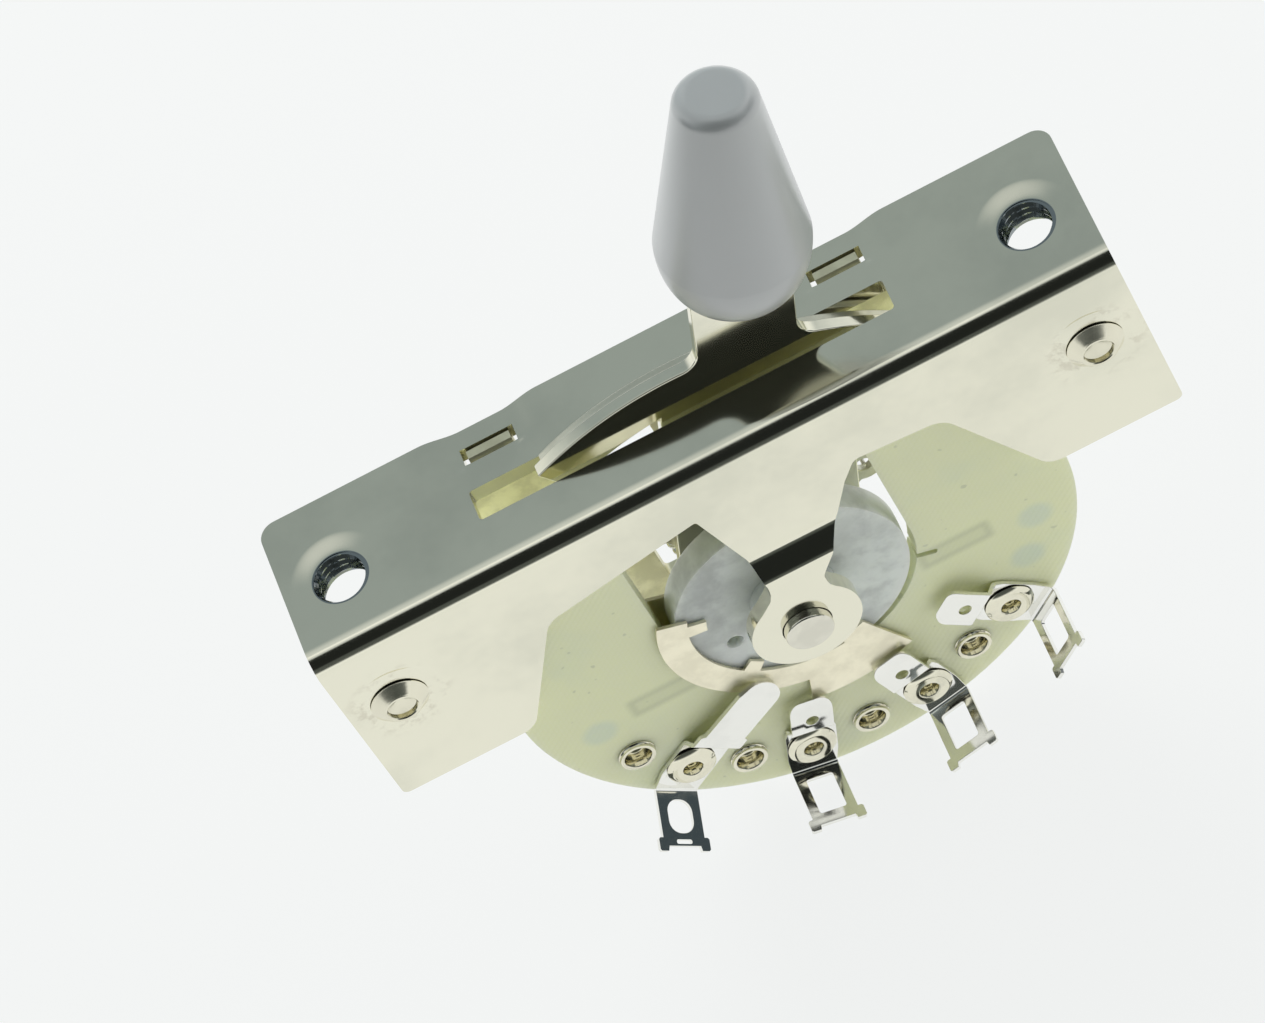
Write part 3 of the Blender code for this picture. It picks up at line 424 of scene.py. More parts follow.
def prism(outline, low, high):
    """Sheet with this outline in X and Z, from y=low to y=high."""
    mesh_data = bmesh.new()
    bottom = [mesh_data.verts.new((x * MM, low * MM, z * MM)) for x, z in outline]
    face = mesh_data.faces.new(bottom)
    made = bmesh.ops.extrude_face_region(mesh_data, geom=[face])
    moved = [v for v in made["geom"] if isinstance(v, bmesh.types.BMVert)]
    bmesh.ops.translate(mesh_data, vec=(0, (high - low) * MM, 0), verts=moved)
    return mesh_data


def join_rings(mesh_data, ring, following):
    """Band of faces between two rings of as many points."""
    for i in range(len(ring)):
        j = (i + 1) % len(ring)
        mesh_data.faces.new((ring[i], ring[j], following[j], following[i]))


def turned(profile, steps, centre=(0.0, 0.0), bored=False):
    """Solid turned about Y from (radius, y) pairs. A bored one closes as a loop."""
    mesh_data = bmesh.new()
    rings = []
    for radius, y in profile:
        ring = []
        for i in range(steps):
            angle = 2 * math.pi * i / steps
            x = centre[0] + radius * math.cos(angle)
            z = centre[1] + radius * math.sin(angle)
            ring.append(mesh_data.verts.new((x * MM, y * MM, z * MM)))
        rings.append(ring)
    joined = list(zip(rings, rings[1:]))
    if bored:
        joined.append((rings[-1], rings[0]))
    else:
        mesh_data.faces.new(rings[0])
        mesh_data.faces.new(rings[-1])
    for ring, following in joined:
        join_rings(mesh_data, ring, following)
    return mesh_data


def take_mesh(obj):
    """Replaces the object's mesh by its evaluated one and drops the modifiers."""
    bpy.context.view_layer.update()
    graph = bpy.context.evaluated_depsgraph_get()
    mesh = bpy.data.meshes.new_from_object(obj.evaluated_get(graph), depsgraph=graph)
    obj.modifiers.clear()
    old = obj.data
    obj.data = mesh
    bpy.data.meshes.remove(old)
    mesh.name = obj.name


def combine(target, mesh_data, operation):
    other = new_object("cutter", mesh_data)
    modifier = target.modifiers.new("cut", "BOOLEAN")
    modifier.operation = operation
    modifier.object = other
    take_mesh(target)
    bpy.data.objects.remove(other, do_unlink=True)


def cut_round(target, centre, radius, low, high, steps=48):
    combine(target, turned([(radius, low), (radius, high)], steps, centre), "DIFFERENCE")


def cut_outline(target, outline, low, high):
    combine(target, prism(outline, low, high), "DIFFERENCE")


def shade(obj, angle):
    """Smooth shading, with edges past the angle kept sharp."""
    obj.data.shade_smooth()
    obj.data.set_sharp_from_angle(angle=math.radians(angle))


def round_edges(obj, width, segments=2, angle=30.0):
    """Rounds each edge sharper than the angle, as a press or a tumbler leaves it."""
    modifier = obj.modifiers.new("rounded", "BEVEL")
    modifier.width = width * MM
    modifier.segments = segments
    modifier.limit_method = "ANGLE"
    modifier.angle_limit = math.radians(angle)
    modifier.use_clamp_overlap = True
    modifier.harden_normals = True
    shade(obj, angle)
    take_mesh(obj)


def upright(mesh_data):
    """Turns a shape made along Y to stand along Z, its -Y end up."""
    bmesh.ops.transform(mesh_data, matrix=Matrix.Rotation(-math.pi / 2, 4, "X"), verts=mesh_data.verts)
    return mesh_data


def swing(obj):
    """Places a shape drawn about the pivot at the lever's resting angle."""
    turn = Matrix.Rotation(math.radians(LEVER_TILT), 4, "Y")
    obj.data.transform(Matrix.Translation((0, 0, PIVOT_Z * MM)) @ turn)


def finish_piece(obj, material, body, slot, *nodes):
    """Gives a piece its one material, its body and the CAD nodes that it stands for."""
    obj.data.materials.clear()
    obj.data.materials.append(material)
    for polygon in obj.data.polygons:
        polygon.material_index = 0
    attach(obj, body)
    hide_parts(*nodes)


def path_lengths(path):
    lengths = [0.0]
    for start, end in zip(path, path[1:]):
        lengths.append(lengths[-1] + (Vector(end) - Vector(start)).length)
    return lengths


def path_frame(path, lengths, along):
    """Point of the path at this length, and its mitred normal there."""
    last = len(path) - 2
    index = next((i for i in range(last + 1) if along <= lengths[i + 1] + 1e-6), last)
    start, end = Vector(path[index]), Vector(path[index + 1])
    step = (end - start).normalized()
    normal = Vector((-step.y, step.x))
    at_start = abs(along - lengths[index]) < 1e-4 and index > 0
    at_end = abs(along - lengths[index + 1]) < 1e-4 and index < last
    if at_start or at_end:
        other = index - 1 if at_start else index + 1
        neighbour = (Vector(path[other + 1]) - Vector(path[other])).normalized()
        mitre = (normal + Vector((-neighbour.y, neighbour.x))).normalized()
        normal = mitre / mitre.dot(normal)
    return start + step * (along - lengths[index]), normal


def bisect(mesh_data, place, normal):
    geometry = list(mesh_data.verts) + list(mesh_data.edges) + list(mesh_data.faces)
    bmesh.ops.bisect_plane(
        mesh_data, geom=geometry, dist=1e-7, plane_co=Vector(place) * MM, plane_no=normal
    )


def fold_blank(obj, path, place):
    """Folds a flat blank, which lies in X and Z, along a path of its middle layer."""
    lengths = path_lengths(path)
    mesh_data = open_mesh(obj)
    for length in lengths[1:-1]:
        bisect(mesh_data, (0, 0, length), (0, 0, 1))
    for vert in mesh_data.verts:
        point, normal = path_frame(path, lengths, vert.co.z / MM)
        point = point - normal * (vert.co.y / MM)
        vert.co = Vector(place(vert.co.x / MM, point)) * MM
    face_outwards(mesh_data)
    close_mesh(obj, mesh_data)


def flange_path():
    """Middle layer of the frame in (Y, Z): flange, bend, front plate."""
    radius = BEND_INSIDE + SHEET / 2
    centre = (FRONT_FACE + SHEET + BEND_INSIDE, -SHEET - BEND_INSIDE)
    bend = arc(centre, radius, 90, 180, 14)
    return [(FLANGE_BACK, -SHEET / 2)] + bend + [(FRONT_FACE + SHEET / 2, PIVOT_Z - EYE_RADIUS - 1)]


def wing_curve(side):
    """Inner edge of a wing, from its bottom to the edge over the wafer."""
    bottom = (side * WING_FOOT, -WING_DEPTH)
    top = (side * WING_SHOULDER, -WING_SHOULDER_DROP)
    beside = (side * WING_ROOT, -WING_ROOT_DROP)
    outer = (side * WING_RIVET_X, -WING_DEPTH)
    foot = fillet(bottom, outer, top, WING_FOOT_ROUND)
    return foot + fillet(top, bottom, beside, WING_SHOULDER_ROUND)


def tongue_outline():
    """Left edge, eye and right edge of the tongue."""
    eye = (0.0, PIVOT_Z)
    corner = (-2.3, -3.79)
    left = fillet(corner, (-WING_ROOT, -WING_ROOT_DROP), (-1.05, -8.9), 0.2, 4)
    left += [(-1.05, -8.9), (-0.76, -10.4), (-0.78, -10.8), (-0.85, -11.2), (-1.05, -11.7)]
    right = [(2.24, -12.7), (2.2, -12.3), (2.21, -11.8), (2.3, -11.6), (2.54, -11.25)]
    right += [(3.57, -9.87), (4.48, -8.87), (5.69, -6.63)]
    right += fillet((6.7, -5.25), (5.69, -6.63), (WING_ROOT, -WING_ROOT_DROP), 0.6, 6)
    return left + arc(eye, EYE_RADIUS, 125, 400, 60) + right


def frame_outline(length_at):
    """Outline of the flat blank, as (X, length) pairs. length_at turns Z into a length."""
    half = FLANGE_LENGTH / 2
    corner = FLANGE_CORNER
    back = arc((-half + corner, corner), corner, 270, 180, 8)
    foot = fillet((-half, -WING_DEPTH), (-half, 0), (0, -WING_DEPTH), WING_CORNER, 4)
    other_foot = fillet((half, -WING_DEPTH), (0, -WING_DEPTH), (half, 0), WING_CORNER, 4)
    front = foot + wing_curve(-1) + tongue_outline() + list(reversed(wing_curve(1))) + other_foot
    points = back + [(x, length_at(z)) for x, z in front]
    return points + arc((half - corner, corner), corner, 0, -90, 8)


def ease(value):
    value = min(max(value, 0.0), 1.0)
    return value * value * (3 - 2 * value)


def dent_at(x, y):
    """How far the flange is pressed down over each staked tab."""
    aside = abs(abs(x) - TAB_CENTRE)
    broad = DENT_DEPTH * ease(1.5 * (1 - aside / DENT_HALF_WIDTH)) * ease((y - DENT_FRONT) / DENT_RAMP)
    before_tab = ease((y - STAKE_FRONT) / STAKE_RAMP) * ease((REAR_FRONT - y) / STAKE_SIDE)
    narrow = STAKE_DEPTH * ease((STAKE_HALF_WIDTH - aside) / STAKE_SIDE) * before_tab
    return broad + narrow


def press_frame(obj):
    """Presses the two dents and the tongue's joggle into the folded sheet."""
    mesh_data = open_mesh(obj)
    for side in (-1, 1):
        for i in range(-DENT_STEPS, DENT_STEPS + 1):
            place = side * TAB_CENTRE + i * DENT_HALF_WIDTH / DENT_STEPS
            bisect(mesh_data, (place, 0, 0), (1, 0, 0))
        for i in range(RAMP_STEPS + 1):
            for edge in (-STAKE_HALF_WIDTH, STAKE_HALF_WIDTH - STAKE_SIDE):
                place = side * TAB_CENTRE + edge + STAKE_SIDE * i / RAMP_STEPS
                bisect(mesh_data, (place, 0, 0), (1, 0, 0))
    ramps = ((DENT_FRONT, DENT_RAMP), (STAKE_FRONT, STAKE_RAMP), (REAR_FRONT - STAKE_SIDE, STAKE_SIDE))
    for front, ramp in ramps:
        for i in range(RAMP_STEPS + 1):
            bisect(mesh_data, (0, front + ramp * i / RAMP_STEPS, 0), (0, 1, 0))
    for i in range(JOGGLE_STEPS + 1):
        level = JOGGLE_TOP + (JOGGLE_BOTTOM - JOGGLE_TOP) * i / JOGGLE_STEPS
        bisect(mesh_data, (0, 0, level), (0, 0, 1))
    for vert in mesh_data.verts:
        x, y, z = vert.co / MM
        if z > -SHEET - 0.01:
            vert.co.z -= dent_at(x, y) * MM
        elif abs(x) < TAB_CENTRE:
            vert.co.y -= JOGGLE * ease((JOGGLE_TOP - z) / (JOGGLE_TOP - JOGGLE_BOTTOM)) * MM
    close_mesh(obj, mesh_data)


def slot_outline():
    """The lever's slot in (X, Y)."""
    width, height = 2 * SLOT_HALF_LENGTH, SLOT_BACK - SLOT_FRONT
    return rounded_outline(box_outline(0, (SLOT_FRONT + SLOT_BACK) / 2, width, height), SLOT_CORNER, 3)


def thread_ring(centre, low, high, steps=64):
    """Lining of a screw hole whose inside is a cut thread, made along Y."""
    mesh_data = bmesh.new()
    rows = math.ceil((high - low) / THREAD_PITCH * THREAD_ROWS)
    rings = []
    for j in range(rows + 1):
        depth = low + (high - low) * j / rows
        inner, outer = [], []
        for i in range(steps):
            phase = (depth / THREAD_PITCH + i / steps) % 1
            crest = HOLE_RADIUS - THREAD_DEPTH * (1 - abs(2 * phase - 1))
            for radius, ring in ((crest, inner), (HOLE_RADIUS + THREAD_LAP, outer)):
                x, z = polar(radius, 360 * i / steps)
                place = (centre[0] + x, depth, centre[1] + z)
                ring.append(mesh_data.verts.new([value * MM for value in place]))
        rings.append((inner, outer))
    walls = [(first[0], second[0]) for first, second in zip(rings, rings[1:])]
    walls += [(first[1], second[1]) for first, second in zip(rings, rings[1:])]
    walls += [rings[0], rings[-1]]
    for ring, following in walls:
        join_rings(mesh_data, ring, following)
    return mesh_data


def dish_profile():
    """Shallow dish that leads into a screw hole, as (radius, Y) pairs."""
    outer = HOLE_RADIUS + DISH_WIDTH
    profile = [(outer, -1)]
    for i in range(DISH_STEPS + 1):
        share = i / DISH_STEPS
        profile.append((outer - DISH_WIDTH * share, DISH_DEPTH * ease(share) + DISH_START))
    return profile + [(HOLE_RADIUS - DISH_LAP, DISH_DEPTH)]


def add_mesh(target, mesh_data):
    """Adds a closed shape to the object's own mesh."""
    other = new_object("addition", mesh_data)
    joined = open_mesh(target)
    joined.from_mesh(other.data)
    close_mesh(target, joined)
    bpy.data.objects.remove(other, do_unlink=True)


def both_dishes():
    """The dishes round the two screw holes, as one cutter."""
    cutter = new_object("dishes", bmesh.new())
    for side in (-1, 1):
        centre = (side * HOLE_SPACING / 2, HOLE_Y)
        add_mesh(cutter, upright(turned(dish_profile(), 96, centre)))
    mesh_data = open_mesh(cutter)
    bpy.data.objects.remove(cutter, do_unlink=True)
    return mesh_data


def build_frame(edge_round):
    """Folds and presses the sheet, draws its collars, cuts its openings and threads its holes."""
    path = flange_path()
    lengths = path_lengths(path)
    straight = path[-2][1]

    def length_at(z):
        return lengths[-2] + straight - z

    folded = new_object("folded_frame", prism(frame_outline(length_at), -SHEET / 2, SHEET / 2))
    fold_blank(folded, path, lambda across, point: (across, point.x, point.y))
    press_frame(folded)
    low = SHEET + COLLAR_DEPTH
    for side in (-1, 1):
        centre = (side * HOLE_SPACING / 2, HOLE_Y)
        outer = HOLE_RADIUS + COLLAR_WALL
        collar = turned([(outer, SHEET / 2), (outer, low)], 64, centre)
        combine(folded, upright(collar), "UNION")
        hole = turned([(HOLE_RADIUS, -1), (HOLE_RADIUS, low + 1)], 64, centre)
        combine(folded, upright(hole), "DIFFERENCE")
        width, height = TAB_WIDTH + 2 * TAB_SIDE_GAP, SHEET + 2 * TAB_FACE_GAP
        tab_slot = box_outline(side * TAB_CENTRE, (REAR_FRONT + REAR_BACK) / 2, width, height)
        combine(folded, upright(prism(tab_slot, -1, SHEET + 1.5)), "DIFFERENCE")
        rivet_hole = (side * WING_RIVET_X, -WING_RIVET_DROP)
        cut_round(folded, rivet_hole, WING_RIVET_RADIUS + SEAT_GAP, FRONT_FACE - 1, FRONT_INNER + 0.5)
    combine(folded, upright(prism(slot_outline(), -1, SHEET + 1)), "DIFFERENCE")
    cut_round(folded, (0, PIVOT_Z), SHAFT_RADIUS + SEAT_GAP, FRONT_FACE - JOGGLE - 1, FRONT_INNER)
    combine(folded, both_dishes(), "DIFFERENCE")
    round_edges(folded, edge_round, 2, 35)
    for side in (-1, 1):
        lining = thread_ring((side * HOLE_SPACING / 2, HOLE_Y), THREAD_INSET, low - THREAD_INSET)
        add_mesh(folded, upright(lining))
    return folded


def rear_plate_outline():
    left, right = -REAR_LEFT_LEG, REAR_RIGHT_LEG
    tab_half = TAB_WIDTH / 2
    foot_angle = 90 - INDEX_HALF_ANGLE
    outline = [(-REAR_HALF_LENGTH, REAR_TOP), (-REAR_HALF_LENGTH, REAR_BAR_BOTTOM)]
    bar_end = (-REAR_HALF_LENGTH, REAR_BAR_BOTTOM)
    outline += fillet((left, REAR_BAR_BOTTOM), bar_end, (left, PIVOT_Z), REAR_CORNER)
    outline += [(left, PIVOT_Z - REAR_LEFT_DROP)]
    outline += arc((0, PIVOT_Z), INDEX_RADIUS, 180 + foot_angle, 360 - foot_angle, 80)
    outline += [(right, PIVOT_Z - REAR_RIGHT_DROP)]
    bar_end = (REAR_HALF_LENGTH, REAR_BAR_BOTTOM)
    outline += fillet((right, REAR_BAR_BOTTOM), (right, PIVOT_Z), bar_end, REAR_CORNER)
    outline += [bar_end, (REAR_HALF_LENGTH, REAR_TOP)]
    for centre in (TAB_CENTRE, -TAB_CENTRE):
        outline += [(centre + tab_half, REAR_TOP), (centre + tab_half, TAB_TOP)]
        outline += [(centre - tab_half, TAB_TOP), (centre - tab_half, REAR_TOP)]
    return outline


def press_tabs(obj):
    """Thins the tops of the staked tabs to blunt ridges."""
    mesh_data = open_mesh(obj)
    for i in range(TAB_STEPS + 1):
        bisect(mesh_data, (0, 0, TAB_TOP - TAB_RIDGE * i / TAB_STEPS), (0, 0, 1))
    middle = (REAR_FRONT + REAR_BACK) / 2 * MM
    for vert in mesh_data.verts:
        rise = 1 + (vert.co.z / MM - TAB_TOP) / TAB_RIDGE
        if rise > 0:
            vert.co.y = middle + (vert.co.y - middle) * (1 - TAB_PINCH * rise * rise)
    close_mesh(obj, mesh_data)


def build_rear_plate(edge_round):
    plate = new_object("index_plate", prism(rear_plate_outline(), REAR_FRONT, REAR_BACK))
    press_tabs(plate)
    low, high = REAR_FRONT - 1, REAR_BACK + 1
    for outer in (-REAR_LEFT_WINDOW, REAR_RIGHT_WINDOW):
        inner = math.copysign(REAR_STRAP_HALF, outer)
        width, height = abs(outer - inner), REAR_WINDOW_TOP - REAR_WINDOW_BOTTOM
        window = box_outline((outer + inner) / 2, REAR_WINDOW_BOTTOM + height / 2, width, height)
        cut_outline(plate, rounded_outline(window, REAR_WINDOW_CORNER), low, high)
    for i in range(POSITIONS):
        angle = -90 + STEP_ANGLE * (i - (POSITIONS - 1) / 2)
        x, z = polar(INDEX_RADIUS - NOTCH_DEPTH + NOTCH_RADIUS, angle)
        cut_round(plate, (x, PIVOT_Z + z), NOTCH_RADIUS, low, high)
    cut_round(plate, (0, PIVOT_Z), SHAFT_RADIUS + SEAT_GAP, low, high)
    round_edges(plate, edge_round)
    return plate


def build_wafer(edge_round):
    half_angle = math.degrees(math.asin((WAFER_EAR_BOTTOM - PIVOT_Z) / WAFER_RADIUS))
    outline = [(-WAFER_EAR_HALF, WAFER_TOP), (-WAFER_EAR_HALF, WAFER_EAR_BOTTOM)]
    outline += arc((0, PIVOT_Z), WAFER_RADIUS, 180 - half_angle, 360 + half_angle, 160)
    outline += [(WAFER_EAR_HALF, WAFER_EAR_BOTTOM), (WAFER_EAR_HALF, WAFER_TOP)]
    wafer = new_object("fibre_wafer", prism(outline, WAFER_FRONT, WAFER_BACK))
    low, high = WAFER_FRONT - 1, WAFER_BACK + 1
    window = arc((0, PIVOT_Z), WAFER_HOLE, 180, 360, 90)
    window += [(WAFER_HOLE, WAFER_WINDOW_TOP), (-WAFER_HOLE, WAFER_WINDOW_TOP)]
    cut_outline(wafer, window, low, high)
    turn = Matrix.Rotation(math.radians(WAFER_SLIT_ANGLE), 2)
    middle = WAFER_HOLE + (WAFER_SLIT_LENGTH - WAFER_SLIT_LAP) / 2
    slit = box_outline(middle, 0, WAFER_SLIT_LENGTH + WAFER_SLIT_LAP, WAFER_SLIT_WIDTH)
    slit = [turn @ Vector(point) for point in rounded_outline(slit, WAFER_SLIT_CORNER, 3)]
    cut_outline(wafer, [(point.x, PIVOT_Z + point.y) for point in slit], low, high)
    for i in range(CONTACT_COUNT):
        x, z = polar(CONTACT_CIRCLE, CONTACT_FIRST_ANGLE + CONTACT_STEP * i)
        cut_round(wafer, (x, PIVOT_Z + z), RIVET_RADIUS + SEAT_GAP, low, high, 32)
    for side in (-1, 1):
        cut_round(wafer, (side * WING_RIVET_X, -WING_RIVET_DROP), WING_RIVET_RADIUS + SEAT_GAP, low, high)
    round_edges(wafer, edge_round)
    return wafer


def build_rotor(edge_round):
    profile = [(HUB_RADIUS, EYE_BACK + RUN_GAP), (HUB_RADIUS, ROTOR_FRONT)]
    profile += [(ROTOR_RADIUS, ROTOR_FRONT), (ROTOR_RADIUS, ROTOR_BACK)]
    rotor = new_object("milky_rotor", turned(profile, 128))
    boss = prism(box_outline(0, 0, DRIVE_SQUARE, DRIVE_SQUARE), ROTOR_BACK - 0.5, DRIVE_END)
    combine(rotor, boss, "UNION")
    low, high = EYE_BACK - 1, DRIVE_END + 1
    cut_round(rotor, (0, 0), SHAFT_RADIUS + SHAFT_CLEARANCE, low, high, 64)
    cut_round(rotor, polar(ROTOR_PIN_RADIUS, ROTOR_PIN_ANGLE), ROTOR_PIN_HOLE, low, high, 32)
    round_edges(rotor, edge_round, 2, 45)
    swing(rotor)
    return rotor


def ring_outline():
    """Ring with a wide lobe that meets the chosen contacts and small tabs inside."""
    outline = arc((0, 0), RING_OUTER, RING_START, LOBE_START, 60)
    outline += arc((0, 0), RING_LOBE, LOBE_START, RING_END, 20)
    reached = RING_END
    for start, end, radius in RING_TABS:
        if end < reached:
            outline += arc((0, 0), RING_INNER, reached, end, max(1, round((reached - end) / 2.5)))
        outline += arc((0, 0), radius, end, start, 3)
        reached = start
    return outline + arc((0, 0), RING_INNER, reached, RING_START, 1)


def build_ring(name, low, high, edge_round):
    ring = new_object(name, prism(ring_outline(), low, high))
    round_edges(ring, edge_round)
    swing(ring)
    return ring


def finger_end(common):
    """Half of a finger's rounded end, as (across, length) pairs."""
    half = LEAF_INNER_WIDTH / 2
    radius = 0.96 * half if common else FINGER_ROUND
    return [(half - radius + x, radius - y) for x, y in arc((0, 0), radius, 90, 0, 8)]


def leaf_outline(rivet, fold, total, common):
    """Blank of a contact, as (across, length) pairs, from its finger to its lug's end."""
    half, inner = LEAF_WIDTH / 2, LEAF_INNER_WIDTH / 2
    lug, ear = LUG_WIDTH / 2, LUG_EAR_WIDTH / 2
    shoulder = COMMON_SHOULDER if common else LEAF_SHOULDER
    slope = COMMON_SLOPE if common else LEAF_SLOPE
    ear_start = total - LUG_EAR_LENGTH
    right = finger_end(common) + [(inner, rivet - shoulder), (half, rivet - shoulder + slope)]
    right += [(half, rivet + 0.9), (lug, fold - 0.4), (lug, ear_start), (ear - 0.1, ear_start)]
    right += [(ear, ear_start + 0.1), (ear, total - 0.1), (ear - 0.1, total)]
    right += [(ear - 0.55, total), (ear - 0.62, total - 0.3)]
    return [(-x, length) for x, length in right] + [(x, length) for x, length in reversed(right)]


def leaf_path(inner_end, flat, outwards, lug_length, lean):
    """Middle layer of a contact in (radius, Y), from its finger to its lug's end."""
    lifted = flat + outwards * LEAF_LIFT
    bend_start = CONTACT_CIRCLE - LEAF_BEND_START
    path = [(inner_end, lifted - outwards * FINGER_DROP)]
    path += [(inner_end + 0.8 * FINGER_TIP, lifted - outwards * 0.04)]
    path += [(inner_end + 1.2 * FINGER_TIP, lifted)]
    for i in range(BEND_POINTS + 1):
        share = i / BEND_POINTS
        path.append((bend_start + LEAF_BEND_LENGTH * share, lifted + (flat - lifted) * ease(share)))
    centre = (LEAF_FOLD - LEAF_FOLD_RADIUS, flat + outwards * LEAF_FOLD_RADIUS)
    path += arc(centre, LEAF_FOLD_RADIUS, -90 * outwards, -lean * outwards, 8)
    radius, y = path[-1]
    lean = math.radians(lean)
    return path + [(radius + lug_length * math.sin(lean), y + outwards * lug_length * math.cos(lean))]


def build_contact(name, angle, rear, common, edge_round, splay):
    """One contact leaf. A common one reaches the ring's inner band, aside from its radius."""
    outwards = 1 if rear else -1
    face = WAFER_BACK if rear else WAFER_FRONT
    flat = face + outwards * (SEAT_GAP + LEAF_THICK / 2)
    inner_end, aside = LEAF_INNER_END, 0.0
    lug_length, lean = LUG_LENGTH, splay
    window_length, corner = LUG_WINDOW_LENGTH, LUG_WINDOW_CORNER
    if common:
        turn = math.radians(COMMON_END_ANGLE - (CONTACT_FIRST_ANGLE + CONTACT_STEP))
        inner_end = COMMON_END_RADIUS * math.cos(turn)
        aside = COMMON_END_RADIUS * math.sin(turn)
        lug_length, lean = COMMON_LUG_LENGTH, COMMON_LUG_LEAN
        window_length, corner = COMMON_WINDOW_LENGTH, COMMON_WINDOW_CORNER
    path = leaf_path(inner_end, flat, outwards, lug_length, lean)
    lengths = path_lengths(path)
    flat_start = 3 + BEND_POINTS
    rivet, fold = lengths[flat_start] + CONTACT_CIRCLE - path[flat_start][0], lengths[-2]
    half = LEAF_THICK / 2
    leaf = new_object(name, prism(leaf_outline(rivet, fold, lengths[-1], common), -half, half))
    cut_round(leaf, (0, rivet), RIVET_RADIUS + SEAT_GAP, -1, 1, 32)
    middle = fold + LUG_WINDOW_START + window_length / 2
    opening = box_outline(0, middle, LUG_WINDOW_WIDTH, window_length)
    cut_outline(leaf, rounded_outline(opening, corner, 8), -1, 1)
    if common:
        slot = box_outline(0, fold + lug_length - COMMON_SLOT_INSET, *COMMON_SLOT)
        cut_outline(leaf, rounded_outline(slot, COMMON_SLOT_CORNER, 3), -1, 1)
    else:
        cut_round(leaf, (0, rivet - FINGER_HOLE_REACH), FINGER_HOLE, -1, 1, 32)
    spin = math.radians(angle)

    def place(across, point):
        reach = max(0.0, (CONTACT_CIRCLE - point.x) / (CONTACT_CIRCLE - inner_end))
        across += aside * reach
        x = point.x * math.cos(spin) - across * math.sin(spin)
        z = point.x * math.sin(spin) + across * math.cos(spin)
        return (x, point.y, PIVOT_Z + z)

    fold_blank(leaf, path, place)
    round_edges(leaf, edge_round, 2, 40)
    return leaf


def eyelet_profile(rear):
    """Contact rivet as (radius, Y) pairs: a head that clamps the leaf, and a smaller one."""
    grip = LEAF_THICK + SEAT_GAP
    front = WAFER_FRONT - SEAT_GAP - (0 if rear else grip)
    back = WAFER_BACK + SEAT_GAP + (grip if rear else 0)
    clamping, plain = (RIVET_HEAD_BORE, RIVET_HEAD), (EYELET_BORE, EYELET_HEAD)
    front_head, back_head = (plain, clamping) if rear else (clamping, plain)
    thick = RIVET_HEAD_THICK
    front_side = cupped_head(*front_head, front, -thick)
    back_side = cupped_head(*back_head, back, thick)
    return front_side + [(RIVET_RADIUS, front), (RIVET_RADIUS, back)] + list(reversed(back_side))


def cupped_head(bore, head, face, thick):
    """Half of a head's section: the cup inside its bore, a narrow flat and a sloping side.

    Heights in the section are parts of the head's thickness above the face that it sits on.
    """
    rim = bore + HEAD_FLAT * (head - bore)
    section = [
        (CUP_CENTRE, -CUP_DEPTH),
        (bore - 0.12, -CUP_DEPTH),
        (bore - 0.04, 0.12 - CUP_DEPTH),
        (bore, 0.8),
        (bore + 0.03, 0.95),
        (bore + 0.07, 1.0),
        (rim - 0.04, 1.0),
        (rim + 0.02, 0.97),
        (head - 0.04, 0.22),
        (head, 0.12),
        (head, 0.0),
    ]
    return [(radius, face + share * thick) for radius, share in section]


def build_rivet(name, profile, centre, steps):
    rivet = new_object(name, turned(profile, steps, centre, bored=True))
    shade(rivet, 50)
    return rivet


def wing_rivet_profile():
    """Rivet through a wing and the wafer's ear, with a shallow bore in its proud head."""
    seat, back = FRONT_FACE - SEAT_GAP, WAFER_BACK + SEAT_GAP
    face = seat - WING_RIVET_PROUD
    bore, head = WING_RIVET_BORE, WING_RIVET_HEAD
    tail = head - 0.15
    return [
        (0.2, face + 2 * WING_RIVET_BORE_DEPTH),
        (bore, face + WING_RIVET_BORE_DEPTH),
        (bore, face + 0.06),
        (bore + 0.06, face),
        (bore + 0.2, face),
        (head - 0.55, face + 0.04),
        (head - 0.5, face + 0.07),
        (head - 0.05, seat - 0.07),
        (head, seat - 0.04),
        (head, seat),
        (WING_RIVET_RADIUS, seat),
        (WING_RIVET_RADIUS, back),
        (tail, back),
        (tail, back + 0.5 * WING_RIVET_TAIL),
        (tail - 0.3, back + WING_RIVET_TAIL),
    ]


def shaft_profile():
    """Shaft from its proud end in the tongue's eye to its riveted end behind the rear plate."""
    front = FRONT_FACE - JOGGLE - SHAFT_PROUD
    seat = REAR_BACK + SEAT_GAP
    profile = [(SHAFT_RADIUS - 0.55, front + 0.02)]
    profile += arc((SHAFT_RADIUS - SHAFT_END_ROUND, front + SHAFT_END_ROUND), SHAFT_END_ROUND, -90, 0, 5)
    profile += [(SHAFT_RADIUS, seat), (SHAFT_TAIL_RADIUS, seat)]
    tail = (SHAFT_TAIL_RADIUS - SHAFT_TAIL_ROUND, seat + SHAFT_TAIL_THICK - SHAFT_TAIL_ROUND)
    return profile + arc(tail, SHAFT_TAIL_ROUND, 0, 80, 5)


def shoulder_side(side, outer, angle, depth, half_width):
    """One side of a plate's hump, from its underside at the stem to its top at the blade."""
    end = 90 - side * angle
    inner = outer - depth
    stem = math.degrees(math.acos(half_width / inner))
    under = arc((0, 0), inner, stem if side > 0 else 180 - stem, end, 24)
    return under, end


